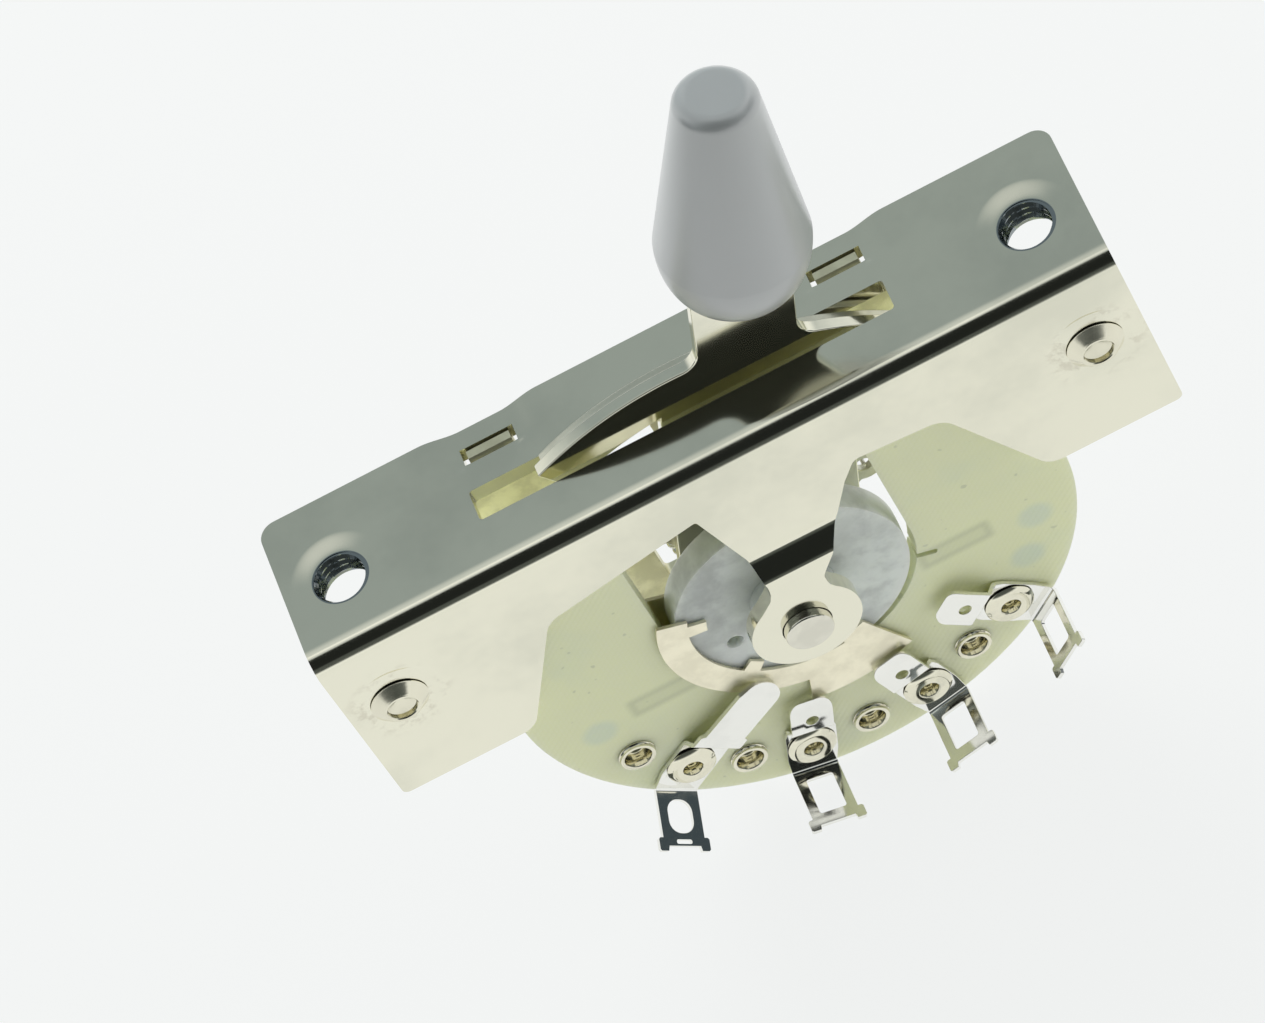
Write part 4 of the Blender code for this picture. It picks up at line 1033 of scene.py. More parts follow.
def lever_outline():
    points = []
    for side in (1, -1):
        shoulder = (SHOULDER_RADIUS, SHOULDER_ANGLE, SHOULDER_DEPTH)
        under, end = shoulder_side(side, *shoulder, WAIST_HALF_WIDTH)
        half = side * BLADE_HALF_WIDTH
        root_v = math.sqrt(SHOULDER_RADIUS**2 - BLADE_HALF_WIDTH**2)
        root = (half, root_v)
        start = math.degrees(math.atan2(root_v, half))
        # The last points make room for the fillet at the blade's root
        over = arc((0, 0), SHOULDER_RADIUS, end, start, 48)[:-5]
        run = [(side * FORK_HALF_WIDTH, -FORK_END), (side * FORK_HALF_WIDTH, -FORK_TOP)]
        run += [(side * WAIST_HALF_WIDTH, -WAIST_BOTTOM)] + under + over
        run += fillet(root, over[-1], (half, BLADE_NECK), SHOULDER_FILLET, 8)
        run += [(half, BLADE_NECK - NECK_STEP), (side * BLADE_NECK_HALF_WIDTH, BLADE_NECK)]
        run += [(side * BLADE_NECK_HALF_WIDTH, BLADE_TOP)]
        points += run if side > 0 else list(reversed(run))
    return points


def square_hole():
    size = DRIVE_SQUARE + 2 * DRIVE_CLEARANCE
    return box_outline(0, 0, size, size)


def build_lever(edge_round):
    lever = new_object("lever_blade", prism(lever_outline(), LEVER_FRONT, LEVER_BACK))
    low, high = LEVER_FRONT - 1, LEVER_BACK + 1
    cut_outline(lever, square_hole(), low, high)
    reach = ROLLER_NECK + RUN_GAP
    slot = arc((0, -ROLLER_DISTANCE), reach, 180, 360, 16)
    slot += arc((0, -ROLLER_DISTANCE + NOTCH_DEPTH), reach, 0, 180, 16)
    cut_outline(lever, slot, low, high)
    round_edges(lever, edge_round, 3)
    swing(lever)
    return lever


def yoke_outline():
    points = []
    stem = WAIST_HALF_WIDTH - YOKE_STEM_INSET
    for side in (1, -1):
        under, end = shoulder_side(side, YOKE_RADIUS, YOKE_ANGLE, YOKE_DEPTH, stem)
        over = arc((0, 0), YOKE_RADIUS, end, 90, 40)
        ear = (side * YOKE_EAR[0], YOKE_EAR[1])
        start, stop = (-100, 80) if side > 0 else (280, 100)
        round_ear = arc(ear, YOKE_EAR_RADIUS, start, stop, 20)
        run = [(side * YOKE_FOOT[0], YOKE_FOOT[1]), (side * stem, YOKE_HIP)]
        run += [(side * stem, YOKE_EAR[1] - YOKE_EAR_SPAN)] + round_ear
        run += [(side * stem, YOKE_EAR[1] + YOKE_EAR_SPAN)] + under + over[:-1]
        points += run if side > 0 else [(0, YOKE_RADIUS)] + list(reversed(run))
    return points


def build_yoke(edge_round):
    yoke = new_object("spring_plate", prism(yoke_outline(), YOKE_FRONT, YOKE_BACK))
    low, high = YOKE_FRONT - 1, YOKE_BACK + 1
    cut_outline(yoke, square_hole(), low, high)
    for side in (-1, 1):
        cut_round(yoke, (side * YOKE_EAR[0], YOKE_EAR[1]), 4 * SPRING_WIRE, low, high, 32)
    round_edges(yoke, edge_round)
    swing(yoke)
    return yoke


def build_roller():
    head_front = LEVER_FRONT - 2 * RUN_GAP
    front, back = REAR_FRONT - REST_GAP, REAR_BACK + REST_GAP
    profile = [
        (ROLLER_HEAD, head_front),
        (ROLLER_HEAD, LEVER_FRONT - RUN_GAP),
        (ROLLER_NECK, LEVER_FRONT - RUN_GAP),
        (ROLLER_NECK, front),
        (ROLLER_RADIUS - ROLLER_EDGE, front),
        (ROLLER_RADIUS, front + ROLLER_EDGE),
        (ROLLER_RADIUS, back - ROLLER_EDGE),
        (ROLLER_RADIUS - ROLLER_EDGE, back),
    ]
    roller = new_object("index_roller", turned(profile, 64, (0, -ROLLER_DISTANCE)))
    shade(roller, 40)
    swing(roller)
    return roller


def spring_line(side):
    """Middle line of one detent spring: a hook on the roller, the coil and a hook in the ear."""
    top = Vector((side * YOKE_EAR[0], SPRING_Y, YOKE_EAR[1]))
    bottom = Vector((0, SPRING_Y, -ROLLER_DISTANCE))
    ahead = (top - bottom).normalized()
    across = Vector((0, 1, 0)).cross(ahead).normalized()
    level = side * 2.5 * SPRING_WIRE
    points = []
    for i in range(25):
        angle = math.radians(-90 + 10 * i)
        hook = -ahead * math.cos(angle - math.pi / 2) + across * math.sin(angle - math.pi / 2)
        points.append(bottom + hook * SPRING_HOOK + Vector((0, level, 0)))
    length = (top - bottom).length
    start, end = COIL_START * length, COIL_END * length
    steps = SPRING_TURNS * COIL_STEPS
    for i in range(steps + 1):
        angle = 2 * math.pi * i / COIL_STEPS
        centre = bottom + ahead * (start + (end - start) * i / steps)
        aside = across * math.cos(angle) + Vector((0, 1, 0)) * math.sin(angle)
        points.append(centre + aside * SPRING_RADIUS)
    # The wire runs on to the ear and ends in its hole
    points.append(top - ahead * 1.1)
    points.append(top - ahead * 0.15 - Vector((0, 0.25, 0)))
    points.append(top - Vector((0, SPRING_Y - YOKE_BACK, 0)))
    points.append(top - Vector((0, SPRING_Y - YOKE_FRONT + 0.05, 0)))
    return points


def tip_profile():
    """Radius and height of the tip: a domed end at the blade and a long taper."""
    base = TIP_BASE_RADIUS
    profile = []
    for i in range(33):
        angle = math.radians(90 * i / 32)
        radius = base + (TIP_RADIUS - base) * math.sin(angle)
        profile.append((radius, TIP_BOTTOM + TIP_WIDEST * (1 - math.cos(angle))))
    top = TIP_BOTTOM + TIP_LENGTH
    for i in range(21):
        angle = math.radians(TIP_TAPER_END + (90 - TIP_TAPER_END) * i / 20)
        radius = TIP_END_RADIUS - TIP_END_ROUND * (1 - math.cos(angle))
        profile.append((radius, top - TIP_END_ROUND * (1 - math.sin(angle))))
    return profile


def build_tip():
    profile = [(radius, -height) for radius, height in tip_profile()]
    tip = new_object("white_tip", upright(turned(profile, 128)))
    middle = (LEVER_FRONT + LEVER_BACK) / 2
    tip.data.transform(Matrix.Translation((0, middle * MM, 0)))
    half = BLADE_NECK_HALF_WIDTH + SOCKET_CLEARANCE
    wide = BLADE_HALF_WIDTH + SOCKET_CLEARANCE
    taper_start, taper_end = (BLADE_NECK + reach for reach in SOCKET_TAPER)
    right = [(wide, TIP_BOTTOM - 1), (wide, taper_start), (half, taper_end), (half, BLADE_TOP + REST_GAP)]
    outline = right + [(-x, z) for x, z in reversed(right)]
    thick = LEVER_THICK / 2 + SOCKET_CLEARANCE
    cut_outline(tip, outline, middle - thick, middle + thick)
    round_edges(tip, TIP_EDGE, 3, 40)
    swing(tip)
    return tip


# The Mix node's sockets for a colour: factor, first, second, and its result
COLOUR_MIX_SOCKETS = (0, 6, 7)
COLOUR_MIX_RESULT = 2

# The Random Value node's sockets for a float: its largest value and its result
RANDOM_MAX_SOCKET = 3
RANDOM_RESULT = 1

# Up to a whole turn, in radians, by which each eyelet is turned at random
EYELET_TURN = 6.28

# Painted shadows that pieces behind the wafer cast through it: half of a mirrored pair of soft bar
# shapes, and small spots
BAR_CENTRE = (9.0, -18.3)
BAR_HALF = (2.2, 0.8)
BAR_BLUR = 0.3
BAR_RIM = (0.2, 0.6)
BAR_SHADOW_COLOUR = (0.4, 0.42, 0.26)
SPOT_PLACES = ((-13.3, -18.9), (13.65, -19.2), (12.2, -22.3))
SPOT_EDGE = (1.35, 0.6)
SPOT_COLOUR = (0.6, 0.72, 0.72)
SHADOW_AND_SPOT_SHARE = 0.34
SPECKLE_COLOUR = (0.3, 0.34, 0.24)

# Marks on the frame: stains round the wing rivets, and painted shade inside the screw holes
STAIN_SHARE = 0.3
STAIN_COLOUR = (0.4, 0.34, 0.26)
BORE_EDGE = (0.08, 0.04)
BORE_SHADE_COLOUR = (0.3, 0.33, 0.34)

# Height of the plated sheet's slight waves, in metres
PLATE_WAVE = 0.000003

# Shader groups for the finishes


def new_group(name, inputs, outputs):
    """Empty shader group with these (name, default) inputs and output names."""
    group = bpy.data.node_groups.new(name, "ShaderNodeTree")
    group.interface.new_socket("Vector", in_out="INPUT", socket_type="NodeSocketVector")
    for socket_name, default in inputs:
        socket = group.interface.new_socket(socket_name, in_out="INPUT", socket_type="NodeSocketFloat")
        socket.default_value = default
    for socket_name in outputs:
        group.interface.new_socket(socket_name, in_out="OUTPUT", socket_type="NodeSocketFloat")
    return group, group.nodes.new("NodeGroupInput"), group.nodes.new("NodeGroupOutput")


def noise_node(tree, vector, scale, detail=4.0, roughness=0.55):
    """Noise texture. scale is a number or a socket."""
    node = tree.nodes.new("ShaderNodeTexNoise")
    tree.links.new(vector, node.inputs["Vector"])
    if isinstance(scale, (int, float)):
        node.inputs["Scale"].default_value = scale
    else:
        tree.links.new(scale, node.inputs["Scale"])
    node.inputs["Detail"].default_value = detail
    node.inputs["Roughness"].default_value = roughness
    return node.outputs["Fac"]


def math_node(tree, operation, first, second=0.0, third=None):
    node = tree.nodes.new("ShaderNodeMath")
    node.operation = operation
    for socket, value in zip(node.inputs, (first, second, third)):
        if value is None:
            continue
        if isinstance(value, (int, float)):
            socket.default_value = value
        else:
            tree.links.new(value, socket)
    return node.outputs["Value"]


def remap(tree, value, low, high, to_low=0.0, to_high=1.0):
    node = tree.nodes.new("ShaderNodeMapRange")
    node.interpolation_type = "SMOOTHSTEP"
    tree.links.new(value, node.inputs["Value"])
    node.inputs["From Min"].default_value = low
    node.inputs["From Max"].default_value = high
    node.inputs["To Min"].default_value = to_low
    node.inputs["To Max"].default_value = to_high
    return node.outputs["Result"]


def coordinates(tree, vector):
    """The vector's three parts."""
    parts = tree.nodes.new("ShaderNodeSeparateXYZ")
    tree.links.new(vector, parts.inputs["Vector"])
    return [parts.outputs[name] for name in ("X", "Y", "Z")]


def vector_value(tree, operation, first, second=None):
    """Number that a vector gives by itself or with a fixed second vector."""
    node = tree.nodes.new("ShaderNodeVectorMath")
    node.operation = operation
    tree.links.new(first, node.inputs[0])
    if second is not None:
        node.inputs[1].default_value = second
    return node.outputs["Value"]


def stretched(tree, vector, scale):
    node = tree.nodes.new("ShaderNodeMapping")
    tree.links.new(vector, node.inputs["Vector"])
    node.inputs["Scale"].default_value = scale
    return node.outputs["Vector"]


def handling_marks():
    """Smudges, fine scratches and the slight waviness of plated sheet."""
    inputs = [("Smudge Scale", 160.0), ("Scratch Scale", 900.0), ("Wave Scale", 260.0)]
    group, given, result = new_group("handling_marks", inputs, ("Smudge", "Scratch", "Height"))
    vector = given.outputs["Vector"]
    broad = noise_node(group, vector, given.outputs["Smudge Scale"], 5.0, 0.6)
    smudge = remap(group, broad, 0.42, 0.68)
    along = stretched(group, vector, (1.0, 7.0, 9.0))
    lines = noise_node(group, along, given.outputs["Scratch Scale"], 3.0, 0.7)
    scratch = remap(group, lines, 0.6, 0.74)
    wave = noise_node(group, vector, given.outputs["Wave Scale"], 2.0, 0.4)
    height = math_node(group, "MULTIPLY_ADD", scratch, -0.05, wave)
    group.links.new(smudge, result.inputs["Smudge"])
    group.links.new(scratch, result.inputs["Scratch"])
    group.links.new(height, result.inputs["Height"])
    return group


def fine_grain():
    """Even fine grain, for blasted, tumbled and moulded surfaces."""
    group, given, result = new_group("fine_grain", [("Grain Scale", 6000.0)], ("Grain", "Mottle"))
    vector = given.outputs["Vector"]
    grain = noise_node(group, vector, given.outputs["Grain Scale"], 2.0, 0.5)
    coarse = math_node(group, "MULTIPLY", given.outputs["Grain Scale"], 0.09)
    mottle = noise_node(group, vector, coarse, 4.0, 0.6)
    group.links.new(grain, result.inputs["Grain"])
    group.links.new(remap(group, mottle, 0.35, 0.65), result.inputs["Mottle"])
    return group


def cloth_weave():
    """Plain weave in X and Z, as glass cloth shows through a laminate's resin."""
    group, given, result = new_group("cloth_weave", [("Thread", 0.00022)], ("Weave", "Dots"))
    x, _, z = coordinates(group, given.outputs["Vector"])
    rate = math_node(group, "DIVIDE", math.pi, given.outputs["Thread"])
    across = math_node(group, "SINE", math_node(group, "MULTIPLY", x, rate))
    along = math_node(group, "SINE", math_node(group, "MULTIPLY", z, rate))
    checks = math_node(group, "MULTIPLY", across, along)
    weave = math_node(group, "MULTIPLY_ADD", checks, 0.5, 0.5)
    dots = remap(group, math_node(group, "ABSOLUTE", checks), 0.55, 0.95)
    group.links.new(weave, result.inputs["Weave"])
    group.links.new(dots, result.inputs["Dots"])
    return group


def pressed_places():
    """Pressed ring and stains round each wing rivet, and painted shade in the bore of each screw hole."""
    group, given, result = new_group("pressed_places", [], ("Height", "Stain", "Bore Shade"))
    x, y, z = coordinates(group, given.outputs["Vector"])
    aside = math_node(group, "ABSOLUTE", x)
    rounds = []
    for middle, across, level in ((HOLE_SPACING / 2, y, HOLE_Y), (WING_RIVET_X, z, -WING_RIVET_DROP)):
        place = group.nodes.new("ShaderNodeCombineXYZ")
        group.links.new(math_node(group, "SUBTRACT", aside, middle * MM), place.inputs["X"])
        group.links.new(math_node(group, "SUBTRACT", across, level * MM), place.inputs["Y"])
        rounds.append(vector_value(group, "LENGTH", place.outputs["Vector"]))
    from_hole, from_rivet = rounds
    outer, inner = (PRESS_RADIUS + PRESS_EDGE) * MM, (PRESS_RADIUS - PRESS_EDGE) * MM
    press = remap(group, from_rivet, outer, inner, 0.0, -PRESS_DEPTH * MM)
    group.links.new(press, result.inputs["Height"])
    outer, inner = ((HOLE_RADIUS + edge) * MM for edge in BORE_EDGE)
    group.links.new(remap(group, from_hole, outer, inner), result.inputs["Bore Shade"])
    near = remap(group, from_rivet, STAIN_OUTER * MM, STAIN_INNER * MM)
    blotch = remap(group, noise_node(group, given.outputs["Vector"], 900.0, 5.0, 0.65), 0.5, 0.66)
    group.links.new(math_node(group, "MULTIPLY", near, blotch), result.inputs["Stain"])
    return group


def shadows_through_and_spots():
    """Painted shadows, in soft bar shapes, where pieces behind the wafer would shade it, and a few small
    spots.
    """
    group, given, result = new_group("shadows_through_and_spots", [], ("Shadow Bars", "Spots"))
    x, _, z = coordinates(group, given.outputs["Vector"])
    aside = math_node(group, "ABSOLUTE", x)
    sides, middles = [], []
    for value, centre, half in zip((aside, z), BAR_CENTRE, BAR_HALF):
        away = math_node(group, "ABSOLUTE", math_node(group, "SUBTRACT", value, centre * MM))
        sides.append(remap(group, away, (half + BAR_BLUR) * MM, (half - BAR_BLUR) * MM))
        middles.append(remap(group, away, (half - BAR_RIM[0]) * MM, (half - BAR_RIM[1]) * MM))
    lighter = math_node(group, "MULTIPLY", math_node(group, "MULTIPLY", *middles), 0.5)
    shadow_bars = math_node(group, "SUBTRACT", math_node(group, "MULTIPLY", *sides), lighter)
    spots = 0.0
    for x, z in SPOT_PLACES:
        spot = (x * MM, WAFER_FRONT * MM, z * MM)
        away = vector_value(group, "DISTANCE", given.outputs["Vector"], spot)
        inside = remap(group, away, SPOT_EDGE[0] * MM, SPOT_EDGE[1] * MM)
        spots = math_node(group, "MAXIMUM", inside, spots)
    group.links.new(shadow_bars, result.inputs["Shadow Bars"])
    group.links.new(spots, result.inputs["Spots"])
    return group


def place_group(tree, name, make, vector, **values):
    """Places a shared group in a material, making it the first time."""
    node = tree.nodes.new("ShaderNodeGroup")
    node.node_tree = bpy.data.node_groups.get(name) or make()
    tree.links.new(vector, node.inputs["Vector"])
    for socket_name, value in values.items():
        node.inputs[socket_name.replace("_", " ").title()].default_value = value
    return node


def new_material(name, **values):
    """Material with a Principled shader. Returns it, its tree, shader and Object coordinates."""
    material = bpy.data.materials.new(name)
    material.use_nodes = True
    tree = material.node_tree
    shader = tree.nodes["Principled BSDF"]
    for socket_name, value in values.items():
        shader.inputs[socket_name.replace("_", " ").title()].default_value = value
    place = tree.nodes.new("ShaderNodeTexCoord").outputs["Object"]
    return material, tree, shader, place


def mix_colour(tree, factor, first, second):
    """Colour mix. first and second are colours or sockets."""
    node = tree.nodes.new("ShaderNodeMix")
    node.data_type = "RGBA"
    factor_socket, first_socket, second_socket = (node.inputs[i] for i in COLOUR_MIX_SOCKETS)
    tree.links.new(factor, factor_socket)
    for socket, value in ((first_socket, first), (second_socket, second)):
        if isinstance(value, bpy.types.NodeSocket):
            tree.links.new(value, socket)
        else:
            socket.default_value = (*value, 1.0)
    return node.outputs[COLOUR_MIX_RESULT]


def bump(tree, shader, height, distance, strength=1.0):
    node = tree.nodes.new("ShaderNodeBump")
    node.inputs["Distance"].default_value = distance
    node.inputs["Strength"].default_value = strength
    tree.links.new(height, node.inputs["Height"])
    tree.links.new(node.outputs["Normal"], shader.inputs["Normal"])


def plated_metal(name, colour, dull, roughness, smudge_roughness, smudge_scale=160.0, pressed=False):
    """Plated sheet: a bright colour, duller smudges, fine scratches and slight waves.

    A pressed one has the frame's pressed rings and stains too, and painted shade inside its screw holes.
    """
    material, tree, shader, place = new_material(name, metallic=1.0)
    marks = place_group(tree, "handling_marks", handling_marks, place, smudge_scale=smudge_scale)
    base = mix_colour(tree, marks.outputs["Smudge"], colour, dull)
    height = math_node(tree, "MULTIPLY", marks.outputs["Height"], PLATE_WAVE)
    if pressed:
        places = place_group(tree, "pressed_places", pressed_places, place)
        height = math_node(tree, "ADD", height, places.outputs["Height"])
        stain = math_node(tree, "MULTIPLY", places.outputs["Stain"], STAIN_SHARE)
        base = mix_colour(tree, stain, base, STAIN_COLOUR)
        # Painted shade inside the screw holes
        base = mix_colour(tree, places.outputs["Bore Shade"], base, BORE_SHADE_COLOUR)
    tree.links.new(base, shader.inputs["Base Color"])
    rough = remap(tree, marks.outputs["Smudge"], 0.0, 1.0, roughness, smudge_roughness)
    rough = math_node(tree, "MULTIPLY_ADD", marks.outputs["Scratch"], 0.04, rough)
    tree.links.new(rough, shader.inputs["Roughness"])
    bump(tree, shader, height, 1.0)
    return material


def grained_metal(name, colour, dull, roughness, grain_scale=9000.0, depth=0.000012):
    """Tumbled or dull-plated metal: an even grain and soft mottling."""
    material, tree, shader, place = new_material(name, metallic=1.0)
    grain = place_group(tree, "fine_grain", fine_grain, place, grain_scale=grain_scale)
    base = mix_colour(tree, grain.outputs["Mottle"], colour, dull)
    tree.links.new(base, shader.inputs["Base Color"])
    rough = remap(tree, grain.outputs["Mottle"], 0.0, 1.0, roughness, roughness + 0.1)
    tree.links.new(rough, shader.inputs["Roughness"])
    bump(tree, shader, grain.outputs["Grain"], depth)
    return material


# Light spreads a little in the wafer's resin
RESIN = {"subsurface_weight": 0.35, "subsurface_scale": 0.0012, "subsurface_radius": (1.0, 1.0, 0.7)}


def laminate_board(name, colour, thread_colour, stain, thread):
    """Pale fibre laminate with its weave, painted shadows of the pieces behind it, small spots and faint
    stains.
    """
    material, tree, shader, place = new_material(name, roughness=0.42, **RESIN)
    weave = place_group(tree, "cloth_weave", cloth_weave, place, thread=thread)
    grain = place_group(tree, "fine_grain", fine_grain, place, grain_scale=3000.0)
    woven = math_node(tree, "MULTIPLY", weave.outputs["Dots"], 0.3)
    base = mix_colour(tree, woven, colour, thread_colour)
    spread = noise_node(tree, place, 140.0, 3.0, 0.6)
    base = mix_colour(tree, remap(tree, spread, 0.5, 0.8, 0.0, 0.45), base, stain)
    speckle = noise_node(tree, place, 1500.0, 1.0, 0.5)
    base = mix_colour(tree, remap(tree, speckle, 0.7, 0.78, 0.0, 0.25), base, SPECKLE_COLOUR)
    # Painted shadows of the pieces behind the wafer, and small spots
    marks = place_group(tree, "shadows_through_and_spots", shadows_through_and_spots, place)
    for mark, tone in (("Shadow Bars", BAR_SHADOW_COLOUR), ("Spots", SPOT_COLOUR)):
        share = math_node(tree, "MULTIPLY", marks.outputs[mark], SHADOW_AND_SPOT_SHARE)
        base = mix_colour(tree, share, base, tone)
    tree.links.new(base, shader.inputs["Base Color"])
    height = math_node(tree, "MULTIPLY_ADD", grain.outputs["Grain"], 0.25, weave.outputs["Weave"])
    bump(tree, shader, height, 0.000012)
    return material


def moulded_plastic(name, colour, shadow, roughness, depth, clouds=0.0, **values):
    """Moulded plastic: slight mottling, a fine grain and a few soft marks."""
    material, tree, shader, place = new_material(name, **values)
    grain = place_group(tree, "fine_grain", fine_grain, place, grain_scale=2600.0)
    marks = place_group(tree, "handling_marks", handling_marks, place, smudge_scale=220.0)
    base = mix_colour(tree, math_node(tree, "MULTIPLY", marks.outputs["Smudge"], 0.5), colour, shadow)
    blotch = remap(tree, noise_node(tree, place, 330.0, 4.0, 0.6), 0.44, 0.7, 0.0, clouds)
    base = mix_colour(tree, blotch, base, shadow)
    tree.links.new(base, shader.inputs["Base Color"])
    rough = remap(tree, marks.outputs["Smudge"], 0.0, 1.0, roughness, roughness + 0.03)
    tree.links.new(rough, shader.inputs["Roughness"])
    bump(tree, shader, grain.outputs["Grain"], depth)
    return material


# Geometry Nodes for what repeats or follows a line


def new_tree(name, inputs):
    """Geometry tree with a Geometry input and these (name, socket type, default) inputs."""
    tree = bpy.data.node_groups.new(name, "GeometryNodeTree")
    tree.interface.new_socket("Geometry", in_out="INPUT", socket_type="NodeSocketGeometry")
    for socket_name, kind, default in inputs:
        socket = tree.interface.new_socket(socket_name, in_out="INPUT", socket_type=kind)
        if default is not None:
            socket.default_value = default
    tree.interface.new_socket("Geometry", in_out="OUTPUT", socket_type="NodeSocketGeometry")
    return tree, tree.nodes.new("NodeGroupInput"), tree.nodes.new("NodeGroupOutput")


def geometry_socket(sockets):
    return next(socket for socket in sockets if socket.type == "GEOMETRY")


def link_chain(tree, source, *nodes):
    """Joins nodes by their geometry sockets, in order."""
    for node in nodes:
        tree.links.new(source, geometry_socket(node.inputs))
        source = geometry_socket(node.outputs)
    return source


def paint_node(tree, given):
    """Node that sets the tree's Material."""
    paint = tree.nodes.new("GeometryNodeSetMaterial")
    tree.links.new(given.outputs["Material"], paint.inputs["Material"])
    return paint


def rivet_circle_tree():
    """Copies one rivet round a circle about the pivot, each turned by its own amount."""
    inputs = [
        ("Count", "NodeSocketInt", 4),
        ("Radius", "NodeSocketFloat", CONTACT_CIRCLE * MM),
        ("First Angle", "NodeSocketFloat", 0.0),
        ("Step", "NodeSocketFloat", 0.5),
        ("Centre Z", "NodeSocketFloat", PIVOT_Z * MM),
        ("Material", "NodeSocketMaterial", None),
    ]
    tree, given, result = new_tree("rivet_circle", inputs)
    points = tree.nodes.new("GeometryNodePoints")
    tree.links.new(given.outputs["Count"], points.inputs["Count"])
    index = tree.nodes.new("GeometryNodeInputIndex").outputs["Index"]
    angle = math_node(tree, "MULTIPLY_ADD", index, given.outputs["Step"], given.outputs["First Angle"])
    x = math_node(tree, "MULTIPLY", math_node(tree, "COSINE", angle), given.outputs["Radius"])
    lift = math_node(tree, "MULTIPLY", math_node(tree, "SINE", angle), given.outputs["Radius"])
    z = math_node(tree, "ADD", lift, given.outputs["Centre Z"])
    place = tree.nodes.new("ShaderNodeCombineXYZ")
    tree.links.new(x, place.inputs["X"])
    tree.links.new(z, place.inputs["Z"])
    tree.links.new(place.outputs["Vector"], points.inputs["Position"])
    turn = tree.nodes.new("FunctionNodeRandomValue")
    turn.inputs["Seed"].default_value = 4
    turn.inputs[RANDOM_MAX_SOCKET].default_value = EYELET_TURN
    rotation = tree.nodes.new("ShaderNodeCombineXYZ")
    tree.links.new(turn.outputs[RANDOM_RESULT], rotation.inputs["Y"])
    copies = tree.nodes.new("GeometryNodeInstanceOnPoints")
    tree.links.new(geometry_socket(points.outputs), copies.inputs["Points"])
    tree.links.new(given.outputs["Geometry"], copies.inputs["Instance"])
    tree.links.new(rotation.outputs["Vector"], copies.inputs["Rotation"])
    realize = tree.nodes.new("GeometryNodeRealizeInstances")
    source = link_chain(tree, copies.outputs["Instances"], realize, paint_node(tree, given))
    tree.links.new(source, result.inputs["Geometry"])
    return tree


def wire_tree():
    """Round wire along the object's edges, closed at both ends."""
    inputs = [
        ("Wire Radius", "NodeSocketFloat", SPRING_WIRE * MM),
        ("Sides", "NodeSocketInt", 10),
        ("Material", "NodeSocketMaterial", None),
    ]
    tree, given, result = new_tree("wire_along_line", inputs)
    line = tree.nodes.new("GeometryNodeMeshToCurve")
    section = tree.nodes.new("GeometryNodeCurvePrimitiveCircle")
    tree.links.new(given.outputs["Sides"], section.inputs["Resolution"])
    tree.links.new(given.outputs["Wire Radius"], section.inputs["Radius"])
    wire = tree.nodes.new("GeometryNodeCurveToMesh")
    wire.inputs["Fill Caps"].default_value = True
    tree.links.new(given.outputs["Geometry"], line.inputs["Mesh"])
    tree.links.new(line.outputs["Curve"], wire.inputs["Curve"])
    tree.links.new(section.outputs["Curve"], wire.inputs["Profile Curve"])
    smooth = tree.nodes.new("GeometryNodeSetShadeSmooth")
    realize = tree.nodes.new("GeometryNodeRealizeInstances")
    source = link_chain(tree, wire.outputs["Mesh"], smooth, realize, paint_node(tree, given))
    tree.links.new(source, result.inputs["Geometry"])
    return tree


def run_tree(obj, make, name, **values):
    """Runs a geometry tree on an object and keeps the result as its plain mesh."""
    modifier = obj.modifiers.new(name, "NODES")
    modifier.node_group = bpy.data.node_groups.get(name) or make()
    sockets = {item.name: item.identifier for item in modifier.node_group.interface.items_tree}
    for value_name, value in values.items():
        modifier[sockets[value_name.replace("_", " ").title()]] = value
    take_mesh(obj)


def line_object(name, points):
    """Object whose edges join the points in order."""
    mesh = bpy.data.meshes.new(name)
    edges = [(i, i + 1) for i in range(len(points) - 1)]
    mesh.from_pydata([point * MM for point in points], edges, [])
    obj = bpy.data.objects.new(name, mesh)
    bpy.context.scene.collection.objects.link(obj)
    return obj


# Settings that a user would change


class MetalLook(bpy.types.PropertyGroup):
    """Colours and wear of the metal pieces."""

    nickel: bpy.props.FloatVectorProperty(
        name="Nickel",
        description="Bright plate of the frame",
        subtype="COLOR",
        size=3,
        default=(0.86, 0.84, 0.695),
    )
    nickel_dull: bpy.props.FloatVectorProperty(
        name="Dull nickel",
        description="Smudged plate",
        subtype="COLOR",
        size=3,
        default=(0.745, 0.735, 0.61),
    )
    zinc: bpy.props.FloatVectorProperty(
        name="Rear plate",
        description="Dull plate",
        subtype="COLOR",
        size=3,
        default=(0.88, 0.85, 0.62),
    )
    silver: bpy.props.FloatVectorProperty(
        name="Contacts",
        description="Tinned contact leaves",
        subtype="COLOR",
        size=3,
        default=(0.92, 0.915, 0.87),
    )
    ring: bpy.props.FloatVectorProperty(
        name="Rings",
        description="Plate of the contact rings",
        subtype="COLOR",
        size=3,
        default=(0.93, 0.88, 0.69),
    )
    eyelet: bpy.props.FloatVectorProperty(
        name="Eyelets",
        description="Rolled rivets",
        subtype="COLOR",
        size=3,
        default=(0.84, 0.81, 0.66),
    )
    steel: bpy.props.FloatVectorProperty(
        name="Turned steel",
        description="Shaft, sleeve and roller",
        subtype="COLOR",
        size=3,
        default=(0.78, 0.76, 0.66),
    )


class EdgeSizes(bpy.types.PropertyGroup):
    """How far the punched edges are rounded, in millimetres."""

    sheet: bpy.props.FloatProperty(
        name="Sheet", description="Edges of the frame and plates", default=0.1, min=0.02
    )
    leaf: bpy.props.FloatProperty(
        name="Leaf", description="Edges of contacts and rings", default=0.035, min=0.01
    )
    board: bpy.props.FloatProperty(
        name="Wafer", description="Edges of the wafer", default=0.06, min=0.02
    )
    plastic: bpy.props.FloatProperty(
        name="Rotor", description="Edges of the rotor", default=0.12, min=0.02
    )


